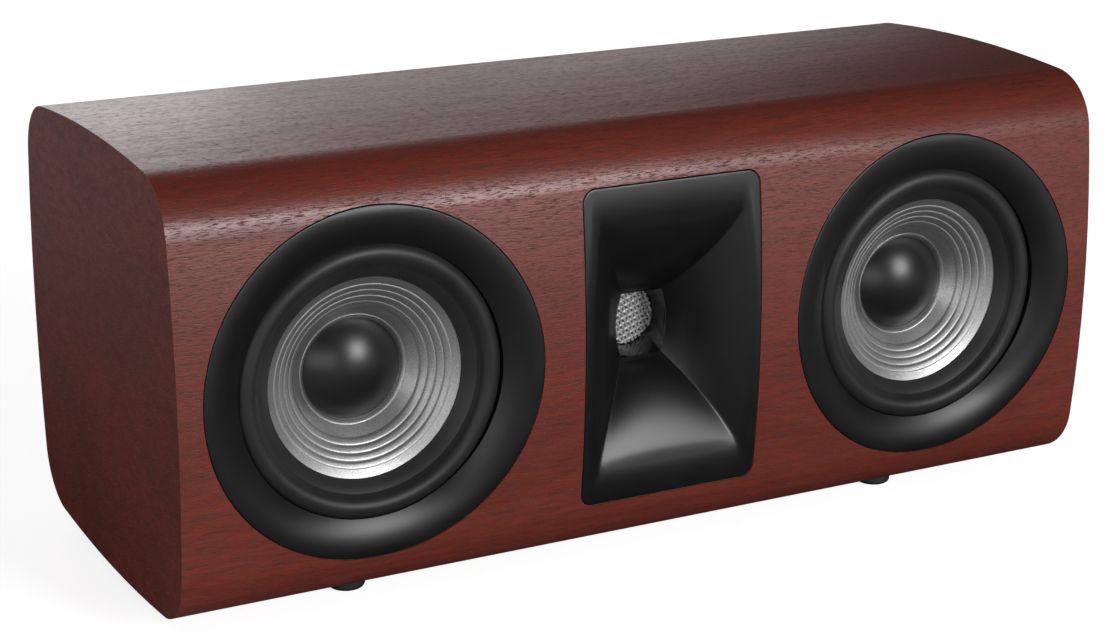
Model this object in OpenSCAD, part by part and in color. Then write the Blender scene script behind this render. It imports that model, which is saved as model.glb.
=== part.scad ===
// Center channel loudspeaker with two cone woofers beside a horn-loaded tweeter.
// The veneered cabinet has four gently bowed faces and stands on four rubber feet.
// +X is the width, -Y is the front and +Z is up. The origin is on the floor under the middle.

/* [Cabinet] */
// Width over the two ends
cab_w = 470; // [455:1:540]
// Height without the feet
cab_h = 202.5; // [198:0.5:230]
// Depth from the crest of the front to the crest of the back
cab_d = 201.5; // [196:0.5:260]
// Radius of the bowed front face
front_bow_r = 615; // [500:5:900]
// Radius of the bowed top and bottom faces
side_bow_r = 800; // [600:5:1200]
// Radius of the bowed rear face
rear_bow_r = 640; // [500:5:900]
// Radius of the four long corners
corner_r = 28; // [19:0.5:32]
// Thickness of the wood veneer
veneer_t = 0.6; // [0.4:0.1:1.2]
// Thickness of the top, bottom and rear boards
wall_t = 15; // [12:0.5:18]
// Thickness of the front baffle at its crest
baffle_t = 24; // [22:0.5:30]
// Thickness of the two end boards
end_t = 15; // [12:0.5:18]
// Thickness of the two braces
brace_t = 10; // [8:0.5:12]
// Width of the frame left around a brace's window
brace_rim = 24; // [18:1:32]

/* [Woofers] */
// Distance from each trim ring to the end of the cabinet
ring_end_gap = 11.3; // [10.3:0.1:13.3]
// Outer radius of the trim ring
ring_r = 78.7; // [77:0.1:79.5]
// Radius of the trim ring's opening
ring_open_r = 61.5; // [61:0.1:62.5]
// Depth of the trim ring's inner lip
ring_lip_depth = 6.4; // [5.8:0.1:7]
// Radius of the trim ring's rounded shoulder
ring_round_r = 14; // [12:0.5:18]
// Radius of the frame's flange
flange_r = 74; // [72.5:0.1:75]
// Thickness of the frame's flange
flange_t = 5.4; // [5:0.1:6]
// Radius of the circle of frame screws
screw_circle_r = 69; // [68:0.1:69.5]
// Number of frame screws
frame_screws = 6; // [4:1:8]
// Radius of the hole behind the frame's flange
frame_hole_r = 63.5; // [62.8:0.1:64]
// Number of frame spokes
spokes = 6; // [5:1:8]
// Radius of the surround's crest
roll_r = 56.6; // [56.2:0.1:57]
// Half width of the surround's roll
roll_half = 5.2; // [4.8:0.1:5.4]
// Depth of the surround's flat outer lip
roll_depth = 11.2; // [10.8:0.1:11.6]
// Thickness of the surround's rubber
rubber_t = 0.8; // [0.6:0.1:1]
// Radius where the surround's lip ends and the cone shows
cone_show_r = 45.3; // [44.5:0.1:46]
// Depth of the cone at that radius
cone_show_depth = 15.2; // [14.6:0.1:16]
// Radius of the dust cap
cap_r = 23; // [21:0.5:25]
// Depth of the cone at the dust cap's edge
cap_depth = 30.7; // [29.5:0.1:31.5]
// Height of the dust cap's dome
cap_rise = 9; // [6:0.5:11]
// Thickness of the cone
cone_t = 0.9; // [0.7:0.1:1.2]
// Number of rings pressed into the cone
cone_rings = 4; // [3:1:5]
// Height of the rings pressed into the cone
cone_ring_h = 0.45; // [0.2:0.05:0.6]
// Travel of the cone each way
stroke = 4; // [2:0.5:4]

/* [Woofer motor] */
// Inner radius of the voice coil's former
former_r = 16; // [15:0.5:17]
// Depth of the magnet's front plate
motor_depth = 52; // [51:0.5:55]
// Thickness of the front and back plates
plate_t = 6; // [5:0.5:8]
// Radius of the front and back plates
plate_r = 40; // [38:0.5:43]
// Radius of the magnet
magnet_r = 45; // [42:0.5:50]
// Thickness of the magnet
magnet_t = 16; // [12:0.5:20]

/* [Horn] */
// Width of the horn's face
horn_w = 91; // [89:0.5:93]
// Height of the horn's face
horn_h = 147.4; // [142:0.2:152]
// Corner radius of the horn's face
horn_corner_r = 6.4; // [4:0.2:9]
// Depth of the seat of the horn's flange
horn_seat_depth = 14; // [12:0.5:16]
// Width of the flare where it meets the front
flare_w = 86; // [82:0.5:87]
// Height of the flare carried on to the front's crest
flare_h = 150; // [146:0.5:151]
// Width of the flare where the round throat begins
throat_w = 21.6; // [19:0.2:23]
// Height of the flare where the round throat begins
throat_h = 36.4; // [32:0.2:40]
// Depth of the flare
flare_depth = 30.5; // [28:0.5:33]
// Radius of the flare's side walls
flare_side_r = 88; // [80:1:110]
// Radius of the flare's upper and lower walls
flare_end_r = 105; // [98:1:130]
// Wall of the horn
horn_t = 3; // [2.4:0.1:3.4]
// Radius of the round throat
throat_r = 14.5; // [13.8:0.1:15.5]
// Depth of the throat's mesh
mesh_depth = 46.4; // [44:0.2:48]
// Thickness of the throat's mesh
mesh_t = 0.8; // [0.6:0.1:1.2]
// Distance between the mesh's holes
mesh_pitch = 3.2; // [2.8:0.1:4]
// Radius of the mesh's holes
mesh_hole_r = 1.05; // [0.8:0.05:1.2]

/* [Tweeter] */
// Radius of the tweeter's motor
hf_r = 32; // [30:0.5:33]
// Radius of the tweeter's dome
dome_r = 12.6; // [11.5:0.1:13]
// Thickness of the tweeter's magnet
hf_magnet_t = 10; // [8:0.5:14]

/* [Feet] */
// Gap between the floor and the lowest line of the cabinet
foot_gap = 6; // [5:0.5:7]
// Radius of a foot
foot_r = 8.5; // [8:0.5:11]
// Height of a foot, the top of which sits in a shallow seat
foot_h = 10; // [9.5:0.5:12]
// Distance of the feet from the two ends
foot_end_gap = 91; // [45:1:115]
// Distance of the feet from the crests of the front and the back
foot_edge_gap = 44.75; // [40.75:0.5:55.75]

/* [Rear] */
// Width of the terminal cup's flange
cup_w = 98; // [90:1:110]
// Height of the terminal cup's flange
cup_h = 76; // [70:1:84]
// Depth of the terminal cup
cup_depth = 31; // [30:0.5:34]
// Rim of the terminal cup's flange
cup_rim = 13; // [12:0.5:15]
// Wall of the terminal cup
cup_t = 2.5; // [2:0.1:3]
// Distance between the two binding posts
post_gap = 19; // [18:0.5:24]
// Radius of a binding post's knob
knob_r = 7; // [6.5:0.1:8]
// Length of a binding post's knob
knob_len = 17; // [15:0.5:18]
// Radius of the socket in a binding post
socket_r = 2; // [1.9:0.05:2.2]
// Depth of the socket in a binding post
socket_depth = 14; // [12:0.5:15]
// Inner radius of the bass ports
port_r = 19; // [16:0.5:22]
// Length of the bass ports
port_len = 70; // [55:1:76]
// Radius of the bass ports' flange
port_flange_r = 32; // [30:0.5:34]
// Distance of the bass ports from the two ends
port_end_gap = 95; // [85:1:115]

/* [Fits] */
// Gap around the trim rings, the horn and the rear fittings
panel_gap = 0.4; // [0.2:0.05:0.6]
// Gap between a pin or a screw and its hole
pin_gap = 0.1; // [0.05:0.05:0.2]
// Gap beside the voice coil
coil_gap = 0.6; // [0.5:0.05:0.8]
// Glue line under the surround and around the former
glue_gap = 0.1; // [0.05:0.05:0.15]

/* [Hidden] */
$fn = 96;
bow_fn = 480;

wood = [0.46, 0.25, 0.22];
fibreboard = [0.66, 0.52, 0.38];
satin_black = [0.13, 0.13, 0.13];
rubber_black = [0.09, 0.09, 0.09];
silver = [0.62, 0.62, 0.62];
steel = [0.70, 0.70, 0.72];
gold = [0.83, 0.66, 0.30];
copper = [0.72, 0.45, 0.20];
ferrite = [0.22, 0.22, 0.23];

mid_z = foot_gap + cab_h / 2;
woofer_x = cab_w / 2 - ring_end_gap - ring_r;
foot_x = cab_w / 2 - foot_end_gap;
foot_y = cab_d / 2 - foot_edge_gap;
port_x = cab_w / 2 - port_end_gap;
front_y = -cab_d / 2;
rear_y = cab_d / 2;
bow_over = 30;
hair = 0.01;

front_c = [front_bow_r - cab_d / 2, 0];
rear_c = [cab_d / 2 - rear_bow_r, 0];
top_c = [0, cab_h / 2 - side_bow_r];
bottom_c = [0, side_bow_r - cab_h / 2];

function unit(v) = v / norm(v);
function meet(c1, r1, c2, r2, side) =
    let(d = norm(c2 - c1), e = (c2 - c1) / d)
    let(a = (d * d + r1 * r1 - r2 * r2) / (2 * d), h = sqrt(r1 * r1 - a * a))
    c1 + a * e + side * h * [-e[1], e[0]];
function inset_r(inset) = max(corner_r - inset, 3);
// Centre of an inset upper corner, first at the front and then at the rear
function front_corner(inset) =
    let(r = inset_r(inset))
    meet(front_c, front_bow_r - inset - r, top_c, side_bow_r - inset - r, -1);
function rear_corner(inset) =
    let(r = inset_r(inset))
    meet(rear_c, rear_bow_r - inset - r, top_c, side_bow_r - inset - r, 1);
function down(p) = [p[0], -p[1]];
function drop(z, r) = r - sqrt(r * r - z * z);
// Centre of the circle of radius r through two points, on the side away from the axis
function arc_centre(p, q, r) =
    let(m = (p + q) / 2, v = (q - p) / 2, h = sqrt(r * r - v * v))
    m + h * unit([v[1], -v[0]]);

// Band across the section between two bowed faces, with radial edges through the corner centres
module bow_band(ca, ra, cb, rb, corners) {
    reach = corner_r + bow_over;
    intersection() {
        translate(ca)
            circle(ra, $fn = bow_fn);
        translate(cb)
            circle(rb, $fn = bow_fn);
        polygon([
            corners[0],
            corners[0] + reach * unit(corners[0] - ca),
            corners[1] + reach * unit(corners[1] - ca),
            corners[1],
            corners[2],
            corners[2] + reach * unit(corners[2] - cb),
            corners[3] + reach * unit(corners[3] - cb),
            corners[3]
        ]);
    }
}

// Section of the cabinet across its width, with every face moved in by the inset.
// The corner circles stand out by a hair, so that they cross the faces cleanly.
module section(inset) {
    ft = front_corner(inset);
    rt = rear_corner(inset);
    fb = down(ft);
    rb = down(rt);
    bow_band(front_c, front_bow_r - inset, rear_c, rear_bow_r - inset, [fb, ft, rt, rb]);
    bow_band(top_c, side_bow_r - inset, bottom_c, side_bow_r - inset, [ft, rt, rb, fb]);
    for (p = [ft, rt, rb, fb])
        translate(p)
            circle(inset_r(inset) + hair);
}

// The hollow has a flat front, because the baffle is a thick flat-backed board
inner_inset = veneer_t + wall_t;
hollow_front = front_y + baffle_t;
module hollow_section() {
    intersection() {
        section(inner_inset);
        translate([hollow_front, -cab_h / 2])
            square([cab_d - baffle_t + 10, cab_h]);
    }
}

module along_x(x0, x1) {
    translate([x0, 0, mid_z])
        rotate([90, 0, 90])
            linear_extrude(height = x1 - x0)
                children();
}

// Everything behind the bowed front surface
module front_limit() {
    translate([-cab_w / 2, front_c[0], mid_z])
        rotate([0, 90, 0])
            cylinder(h = cab_w, r = front_bow_r, $fn = bow_fn);
}

// Everything in front of the bowed rear surface
module rear_limit() {
    translate([-cab_w / 2, rear_c[0], mid_z])
        rotate([0, 90, 0])
            cylinder(h = cab_w, r = rear_bow_r, $fn = bow_fn);
}

// Local Z is the depth behind the front's crest
module from_front(x) {
    translate([x, front_y, mid_z])
        rotate([-90, 0, 0])
            children();
}

// Local Z is the depth before the crest of the back
module from_rear(x) {
    translate([x, rear_y, mid_z])
        rotate([90, 0, 0])
            children();
}

module rounded_rect(w, h, r) {
    square([w - 2 * r, h], center = true);
    square([w, h - 2 * r], center = true);
    for (sx = [-1, 1], sy = [-1, 1])
        translate([sx * (w / 2 - r), sy * (h / 2 - r)])
            intersection() {
                circle(r);
                translate([sx > 0 ? 0 : -r, sy > 0 ? 0 : -r])
                    square(r);
            }
}

module around(count, r, turn = 0) {
    for (i = [0 : count - 1])
        rotate([0, 0, turn + i * 360 / count])
            translate([r, 0, 0])
                children();
}

// Cabinet boards. They meet on mitres that run from the hollow to the rounded corners.

mitre = 20;
front_meet = [
    hollow_front,
    top_c[1] + sqrt(pow(side_bow_r - inner_inset, 2) - pow(hollow_front, 2))
];
front_key = front_meet + [mitre, -mitre];
rear_key = rear_corner(inner_inset) - [mitre, mitre];
mitre_reach = 90;

module board(corners) {
    along_x(-cab_w / 2 + veneer_t, cab_w / 2 - veneer_t)
        intersection() {
            difference() {
                section(veneer_t);
                hollow_section();
            }
            polygon(corners);
        }
}

woofer_seat_depth = ring_lip_depth + 2 + flange_t;
ring_seat_depth = woofer_seat_depth - flange_t;
frame_screw_r = 1.9;
frame_screw_len = baffle_t - woofer_seat_depth - 2;
horn_hole_w = 2 * (flare_half(horn_seat_depth, flare_w, throat_w, flare_side_r) + horn_t + 6);
horn_hole_h = 2 * (flare_half(horn_seat_depth, flare_h, throat_h, flare_end_r) + horn_t + 8);
horn_screw_x = horn_w / 2 - 14;
horn_screw_z = (horn_h + horn_hole_h) / 4;
horn_screw_r = 1.6;
horn_screw_bite = 7;

module baffle_cuts() {
    for (s = [-1, 1])
        from_front(s * woofer_x) {
            translate([0, 0, -1])
                cylinder(h = ring_seat_depth + 1, r = ring_r + panel_gap);
            cylinder(h = woofer_seat_depth, r = flange_r + panel_gap);
            cylinder(h = baffle_t + 1, r = frame_hole_r);
            around(frame_screws, screw_circle_r, 90)
                cylinder(h = woofer_seat_depth + frame_screw_len + 1, r = frame_screw_r + pin_gap);
        }
    from_front(0) {
        horn_rebate();
        linear_extrude(height = baffle_t + 1)
            rounded_rect(horn_hole_w, horn_hole_h, horn_corner_r);
        for (sx = [-1, 1], sy = [-1, 1])
            translate([sx * horn_screw_x, sy * horn_screw_z, 0])
                cylinder(h = baffle_t + 1, r = horn_screw_r + pin_gap);
    }
}

module horn_rebate() {
    translate([0, 0, -1])
        linear_extrude(height = horn_seat_depth + 1)
            rounded_rect(
                horn_w + 2 * panel_gap,
                horn_h + 2 * panel_gap,
                horn_corner_r + panel_gap
            );
}

module front_baffle() {
    color(fibreboard)
        difference() {
            board([
                front_key,
                front_key + [-mitre_reach, mitre_reach],
                down(front_key + [-mitre_reach, mitre_reach]),
                down(front_key)
            ]);
            baffle_cuts();
        }
}

module top_panel() {
    color(fibreboard)
        board([
            front_key,
            front_key + [-mitre_reach, mitre_reach],
            rear_key + [mitre_reach, mitre_reach],
            rear_key
        ]);
}

module bottom_panel() {
    color(fibreboard)
        difference() {
            board([
                down(front_key),
                down(front_key + [-mitre_reach, mitre_reach]),
                down(rear_key + [mitre_reach, mitre_reach]),
                down(rear_key)
            ]);
            foot_seats();
            for (sx = [-1, 1], sy = [-1, 1])
                translate([sx * foot_x, sy * foot_y, 0])
                    cylinder(h = foot_h + foot_screw_bite + 1, r = foot_screw_r + pin_gap);
        }
}

module rear_panel() {
    color(fibreboard)
        difference() {
            board([
                rear_key,
                rear_key + [mitre_reach, mitre_reach],
                down(rear_key + [mitre_reach, mitre_reach]),
                down(rear_key)
            ]);
            rear_cuts();
            from_rear(0)
                cup_screw_places()
                    cylinder(h = cup_seat_depth + rear_screw_len + 1, r = rear_screw_r + pin_gap);
            for (s = [-1, 1])
                from_rear(s * port_x)
                    port_screw_places()
                        cylinder(
                            h = port_seat_depth + rear_screw_len + 1,
                            r = rear_screw_r + pin_gap
                        );
        }
}

module rear_cuts() {
    from_rear(0) {
        translate([0, 0, -1])
            linear_extrude(height = cup_seat_depth + 1)
                rounded_rect(
                    cup_w + 2 * panel_gap,
                    cup_h + 2 * panel_gap,
                    cup_corner_r + panel_gap
                );
        linear_extrude(height = veneer_t + wall_t + 12)
            rounded_rect(
                cup_w - 2 * cup_rim + 2 * cup_t + 2,
                cup_h - 2 * cup_rim + 2 * cup_t + 2,
                cup_corner_r
            );
    }
    for (s = [-1, 1])
        from_rear(s * port_x) {
            translate([0, 0, -1])
                cylinder(h = port_seat_depth + 1, r = port_flange_r + panel_gap);
            cylinder(h = veneer_t + wall_t + 12, r = port_r + port_t + 1);
        }
}

module end_board(s) {
    inner = cab_w / 2 - veneer_t - end_t;
    outer = cab_w / 2 - veneer_t;
    color(fibreboard)
        along_x(s > 0 ? inner : -outer, s > 0 ? outer : -inner)
            hollow_section();
}

module left_end_panel() {
    end_board(-1);
}

module right_end_panel() {
    end_board(1);
}

// Each brace stands between the horn and a woofer, with a window for the air
brace_x = (horn_hole_w / 2 + woofer_x - frame_hole_r) / 2;
module inner_braces() {
    color(fibreboard)
        for (s = [-1, 1])
            along_x(s * brace_x - brace_t / 2, s * brace_x + brace_t / 2)
                difference() {
                    hollow_section();
                    translate([hollow_front + cab_d / 2 - baffle_t / 2 - inner_inset / 2, 0])
                        rounded_rect(
                            cab_d - baffle_t - inner_inset - 2 * brace_rim,
                            cab_h - 2 * inner_inset - 2 * brace_rim,
                            14
                        );
                }
}

// The veneer runs once around the cabinet, and one sheet closes each end
module wrap_veneer() {
    color(wood)
        difference() {
            along_x(-cab_w / 2, cab_w / 2)
                difference() {
                    section(0);
                    section(veneer_t);
                }
            for (s = [-1, 1])
                from_front(s * woofer_x)
                    translate([0, 0, -1])
                        cylinder(h = ring_seat_depth + 1, r = ring_r + panel_gap);
            from_front(0)
                horn_rebate();
            rear_cuts();
            foot_seats();
        }
}

module end_veneers() {
    color(wood)
        for (s = [-1, 1])
            along_x(
                s > 0 ? cab_w / 2 - veneer_t : -cab_w / 2,
                s > 0 ? cab_w / 2 : -cab_w / 2 + veneer_t
            )
                section(veneer_t);
}

// Feet

foot_screw_r = 1.7;
foot_screw_bite = 12;
foot_head_r = 3.2;
foot_head_t = 2;
foot_floor = 5;

module foot_seats() {
    for (sx = [-1, 1], sy = [-1, 1])
        translate([sx * foot_x, sy * foot_y, 0])
            cylinder(h = foot_h, r = foot_r + panel_gap);
}

module foot(sx, sy) {
    edge = 2;
    color(rubber_black)
        translate([sx * foot_x, sy * foot_y, 0])
            rotate_extrude()
                difference() {
                    union() {
                        translate([foot_screw_r + pin_gap, 0])
                            square([foot_r - edge - foot_screw_r - pin_gap, foot_h]);
                        translate([foot_r - edge, edge])
                            square([edge, foot_h - edge]);
                        translate([foot_r - edge, edge])
                            intersection() {
                                circle(edge, $fn = 48);
                                translate([0, -edge])
                                    square(edge);
                            }
                    }
                    square([foot_head_r + 0.4, foot_floor]);
                }
}

module foot_front_left() {
    foot(-1, -1);
}

module foot_front_right() {
    foot(1, -1);
}

module foot_rear_left() {
    foot(-1, 1);
}

module foot_rear_right() {
    foot(1, 1);
}

module foot_screws() {
    color(steel)
        for (sx = [-1, 1], sy = [-1, 1])
            translate([sx * foot_x, sy * foot_y, foot_floor])
                rotate_extrude()
                    polygon([
                        [0, -foot_head_t],
                        [foot_head_r - 0.6, -foot_head_t],
                        [foot_head_r, -foot_head_t + 0.8],
                        [foot_head_r, 0],
                        [foot_screw_r, 0],
                        [foot_screw_r, foot_h - foot_floor + foot_screw_bite - 2],
                        [0, foot_h - foot_floor + foot_screw_bite]
                    ]);
}

// Woofer

// The rounded shoulder passes through the lip and leaves the front at a slant
ring_round_c = [ring_open_r, ring_lip_depth] + ring_round_r * [cos(30), sin(30)];

module trim_ring(x) {
    color(satin_black)
        intersection() {
            from_front(x)
                rotate_extrude()
                    difference() {
                        translate([ring_open_r, -2])
                            square([ring_r - ring_open_r, ring_seat_depth + 2]);
                        difference() {
                            translate([ring_open_r - 1, -3])
                                square([ring_round_c[0] - ring_open_r + 1, ring_lip_depth + 3]);
                            translate(ring_round_c)
                                circle(ring_round_r);
                        }
                    }
            front_limit();
        }
}

module trim_ring_left() {
    trim_ring(-woofer_x);
}

module trim_ring_right() {
    trim_ring(woofer_x);
}

// The cone follows one straight line from the surround to the neck
cone_slope = (cap_depth - cone_show_depth) / (cone_show_r - cap_r);
function cone_depth(r) = cone_show_depth + (cone_show_r - r) * cone_slope;
cone_out_r = roll_r - roll_half - 0.5;
former_t = 0.5;
neck_r = former_r + former_t;
coil_t = 0.9;
coil_len = plate_t + 2 * stroke - 2;
coil_start = motor_depth + (plate_t - coil_len) / 2;
former_end = coil_start + coil_len + 2;
cone_n = sqrt(1 + cone_slope * cone_slope);
cone_v = cone_t * cone_n;

// Frame, with spokes between the flange and the motor
frame_wall = 3;
ledge_depth = 40;
ledge_r = 38;
frame_in_r = frame_hole_r - frame_wall - 0.6;
lip_seat_r = roll_r + roll_half + 1.6;
seat_t = 3;

module basket(x) {
    out = frame_in_r + frame_wall;
    color(satin_black)
        difference() {
            from_front(x)
                difference() {
                    rotate_extrude()
                        polygon([
                            [frame_in_r, roll_depth + rubber_t],
                            [lip_seat_r, roll_depth + rubber_t],
                            [lip_seat_r, ring_seat_depth],
                            [flange_r, ring_seat_depth],
                            [flange_r, woofer_seat_depth],
                            [out, woofer_seat_depth],
                            [out, woofer_seat_depth + 8],
                            [ledge_r + 4 + frame_wall, ledge_depth + 2],
                            [ledge_r + 4 + frame_wall, motor_depth],
                            [frame_seat_r, motor_depth],
                            [frame_seat_r, motor_depth - seat_t],
                            [ledge_r + 4, motor_depth - seat_t],
                            [ledge_r + 4, ledge_depth + 2],
                            [ledge_r - 2, ledge_depth + 2],
                            [ledge_r - 2, ledge_depth],
                            [ledge_r + 4, ledge_depth],
                            [frame_in_r, woofer_seat_depth + 8]
                        ]);
                    basket_windows();
                    around(frame_screws, screw_circle_r, 90)
                        translate([0, 0, ring_seat_depth - 1]) {
                            cylinder(h = flange_t + 2, r = frame_screw_r + pin_gap);
                            cylinder(h = 1 + screw_sink, r = 3.8);
                        }
                }
        }
}

frame_seat_r = 20;
screw_sink = 2;

module basket_windows() {
    low = woofer_seat_depth + 9;
    for (i = [0 : spokes - 1])
        rotate([0, 0, 90 + (i + 0.5) * 360 / spokes])
            translate([ledge_r + 2.5, 0, low])
                linear_extrude(height = ledge_depth - low - 2)
                    polygon([
                        [0, -0.26 * ledge_r],
                        [40, -0.26 * ledge_r - 14],
                        [40, 0.26 * ledge_r + 14],
                        [0, 0.26 * ledge_r]
                    ]);
}

module basket_left() {
    basket(-woofer_x);
}

module basket_right() {
    basket(woofer_x);
}

// Rubber roll with a flat outer lip on the frame and an inner lip on the cone
module surround(x) {
    r_in = roll_r - roll_half;
    r_out = roll_r + roll_half;
    r_mid = r_in + rubber_t / 2;
    color(rubber_black)
        from_front(x)
            rotate_extrude() {
                difference() {
                    translate([roll_r, roll_depth])
                        circle(roll_half, $fn = 72);
                    translate([roll_r, roll_depth])
                        circle(roll_half - rubber_t, $fn = 72);
                    translate([0, roll_depth])
                        square([flange_r, 20]);
                }
                translate([r_out - rubber_t, roll_depth])
                    square([lip_seat_r - panel_gap - r_out + rubber_t, rubber_t]);
                polygon([
                    [r_mid, cone_depth(r_mid) - rubber_t],
                    [r_mid, roll_depth],
                    [cone_out_r, cone_depth(cone_out_r) - glue_gap],
                    [cone_show_r, cone_show_depth - glue_gap],
                    [cone_show_r, cone_show_depth - rubber_t]
                ]);
            }
}

module surround_left() {
    surround(-woofer_x);
}

module surround_right() {
    surround(woofer_x);
}

ring_band = [cone_show_r - 3.4, cap_r + 6.2];
function wave(r) =
    r > ring_band[0] || r < ring_band[1] ? 0
    : cone_ring_h * (1 - cos(360 * cone_rings * (r - ring_band[1]) / (ring_band[0] - ring_band[1])))
      / 2;
cone_steps = cone_rings * 8;
cone_radii = concat(
    [cone_out_r],
    [for (i = [0 : cone_steps]) ring_band[0] + (ring_band[1] - ring_band[0]) * i / cone_steps],
    [neck_r]
);

module cone(x) {
    n = len(cone_radii);
    color(silver)
        from_front(x)
            rotate_extrude()
                polygon(concat(
                    [for (r = cone_radii) [r, cone_depth(r) - wave(r)]],
                    [for (i = [n - 1 : -1 : 0])
                        [cone_radii[i], cone_depth(cone_radii[i]) - wave(cone_radii[i]) + cone_v]]
                ));
}

module cone_left() {
    cone(-woofer_x);
}

module cone_right() {
    cone(woofer_x);
}

// Domed cap with a narrow flat rim that is glued to the cone
module dust_cap(x) {
    ball_r = (cap_r * cap_r + cap_rise * cap_rise) / (2 * cap_rise);
    rim = 1;
    t = 0.7;
    base = cone_depth(cap_r);
    color(satin_black)
        from_front(x)
            rotate_extrude() {
                intersection() {
                    translate([0, base - cap_rise + ball_r])
                        difference() {
                            circle(ball_r, $fn = 240);
                            circle(ball_r - t, $fn = 240);
                        }
                    translate([0, base - cap_rise - 1])
                        square([cap_r, cap_rise + 1 - 0.4]);
                }
                polygon([
                    [cap_r - 1.6, base - 0.9],
                    [cap_r + rim, cone_depth(cap_r + rim) - 0.5],
                    [cap_r + rim, cone_depth(cap_r + rim)],
                    [cap_r - 1.6, base]
                ]);
            }
}

module dust_cap_left() {
    dust_cap(-woofer_x);
}

module dust_cap_right() {
    dust_cap(woofer_x);
}

// Former glued in the cone's neck, with the winding in the motor's gap
module voice_coil(x) {
    top = cone_depth(neck_r) - 1;
    color(copper)
        from_front(x)
            rotate_extrude() {
                translate([former_r, top])
                    square([former_t, former_end - top]);
                translate([former_r + former_t, coil_start])
                    square([coil_t, coil_len]);
            }
}

module voice_coil_left() {
    voice_coil(-woofer_x);
}

module voice_coil_right() {
    voice_coil(woofer_x);
}

// Corrugated cloth ring between the former and the frame's ledge
spider_waves = 4;
module spider(x) {
    steps = spider_waves * 8;
    r0 = neck_r + glue_gap;
    r1 = ledge_r + 3.5;
    t = 0.5;
    base = ledge_depth - t;
    function sag(i) = i < 4 || i > steps - 8 ? 0 : 1.5 * sin(360 * (i - 4) / 8);
    color([0.75, 0.62, 0.38])
        from_front(x)
            rotate_extrude()
                polygon(concat(
                    [for (i = [0 : steps]) [r0 + (r1 - r0) * i / steps, base + sag(i)]],
                    [for (i = [steps : -1 : 0]) [r0 + (r1 - r0) * i / steps, base + sag(i) + t]]
                ));
}

module spider_left() {
    spider(-woofer_x);
}

module spider_right() {
    spider(woofer_x);
}

gap_out_r = former_r + former_t + coil_t + coil_gap;
pole_r = former_r - coil_gap;

module top_plate(x) {
    color(steel)
        from_front(x)
            translate([0, 0, motor_depth])
                difference() {
                    cylinder(h = plate_t, r = plate_r);
                    translate([0, 0, -1])
                        cylinder(h = plate_t + 2, r = gap_out_r);
                }
}

module top_plate_left() {
    top_plate(-woofer_x);
}

module top_plate_right() {
    top_plate(woofer_x);
}

module magnet(x) {
    color(ferrite)
        from_front(x)
            translate([0, 0, motor_depth + plate_t])
                difference() {
                    cylinder(h = magnet_t, r = magnet_r);
                    translate([0, 0, -1])
                        cylinder(h = magnet_t + 2, r = gap_out_r + 4);
                }
}

module magnet_left() {
    magnet(-woofer_x);
}

module magnet_right() {
    magnet(woofer_x);
}

// Back plate and vented pole in one turned piece
module yoke(x) {
    back = motor_depth + plate_t + magnet_t;
    color(steel)
        from_front(x)
            rotate_extrude()
                polygon([
                    [5, motor_depth - 1],
                    [pole_r - 0.8, motor_depth - 1],
                    [pole_r, motor_depth - 0.2],
                    [pole_r, back],
                    [plate_r, back],
                    [plate_r, back + plate_t - 1.5],
                    [plate_r - 1.5, back + plate_t],
                    [8, back + plate_t],
                    [5, back + plate_t - 3]
                ]);
}

module yoke_left() {
    yoke(-woofer_x);
}

module yoke_right() {
    yoke(woofer_x);
}

module woofer_screws() {
    color(steel)
        for (s = [-1, 1])
            from_front(s * woofer_x)
                around(frame_screws, screw_circle_r, 90)
                    translate([0, 0, ring_seat_depth])
                        rotate_extrude()
                            polygon([
                                [0, 0.2],
                                [3.4, 0.2],
                                [3.4, screw_sink],
                                [frame_screw_r, screw_sink],
                                [frame_screw_r, flange_t + frame_screw_len - 2],
                                [0, flange_t + frame_screw_len]
                            ]);
}

// Horn: two curved profiles crossed at right angles, so that creases run from corner to throat

flare_end = flare_depth + 2.5;
function flare_c(wide, narrow, r) =
    arc_centre([wide / 2, 0], [narrow / 2, flare_depth], r);
function flare_half(d, wide, narrow, r) =
    let(c = flare_c(wide, narrow, r))
    c[0] - sqrt(r * r - pow(d - c[1], 2));

// Open area of one flare profile, grown by the wall, between two depths
module flare_profile(wide, narrow, r, wall, d0, d1) {
    c = flare_c(wide, narrow, r);
    reach = wide / 2 + wall + 6;
    difference() {
        translate([-reach, d0])
            square([2 * reach, d1 - d0]);
        for (s = [-1, 1])
            translate([s * c[0], c[1]])
                circle(r - wall, $fn = bow_fn);
    }
}

// Area taken off the sharp edge where a flare profile meets the front
module lip_profile(edge, edge_depth, foot_w, foot_depth, r) {
    p = [edge, edge_depth];
    q = [foot_w, foot_depth];
    c = arc_centre(p, q, r);
    for (s = [0, 1])
        mirror([s, 0])
            difference() {
                polygon([p, q, [foot_w, -6], [edge, -6]]);
                translate(c)
                    circle(r, $fn = bow_fn);
            }
}

module flare_space(wall, d0, d1) {
    intersection() {
        from_front(0)
            rotate([90, 0, 0])
                translate([0, 0, -horn_h / 2])
                    linear_extrude(height = horn_h)
                        flare_profile(flare_w, throat_w, flare_side_r, wall, d0, d1);
        from_front(0)
            rotate([90, 0, 90])
                translate([0, 0, -horn_w / 2])
                    linear_extrude(height = horn_w)
                        flare_profile(flare_h, throat_h, flare_end_r, wall, d0, d1);
    }
}

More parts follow.
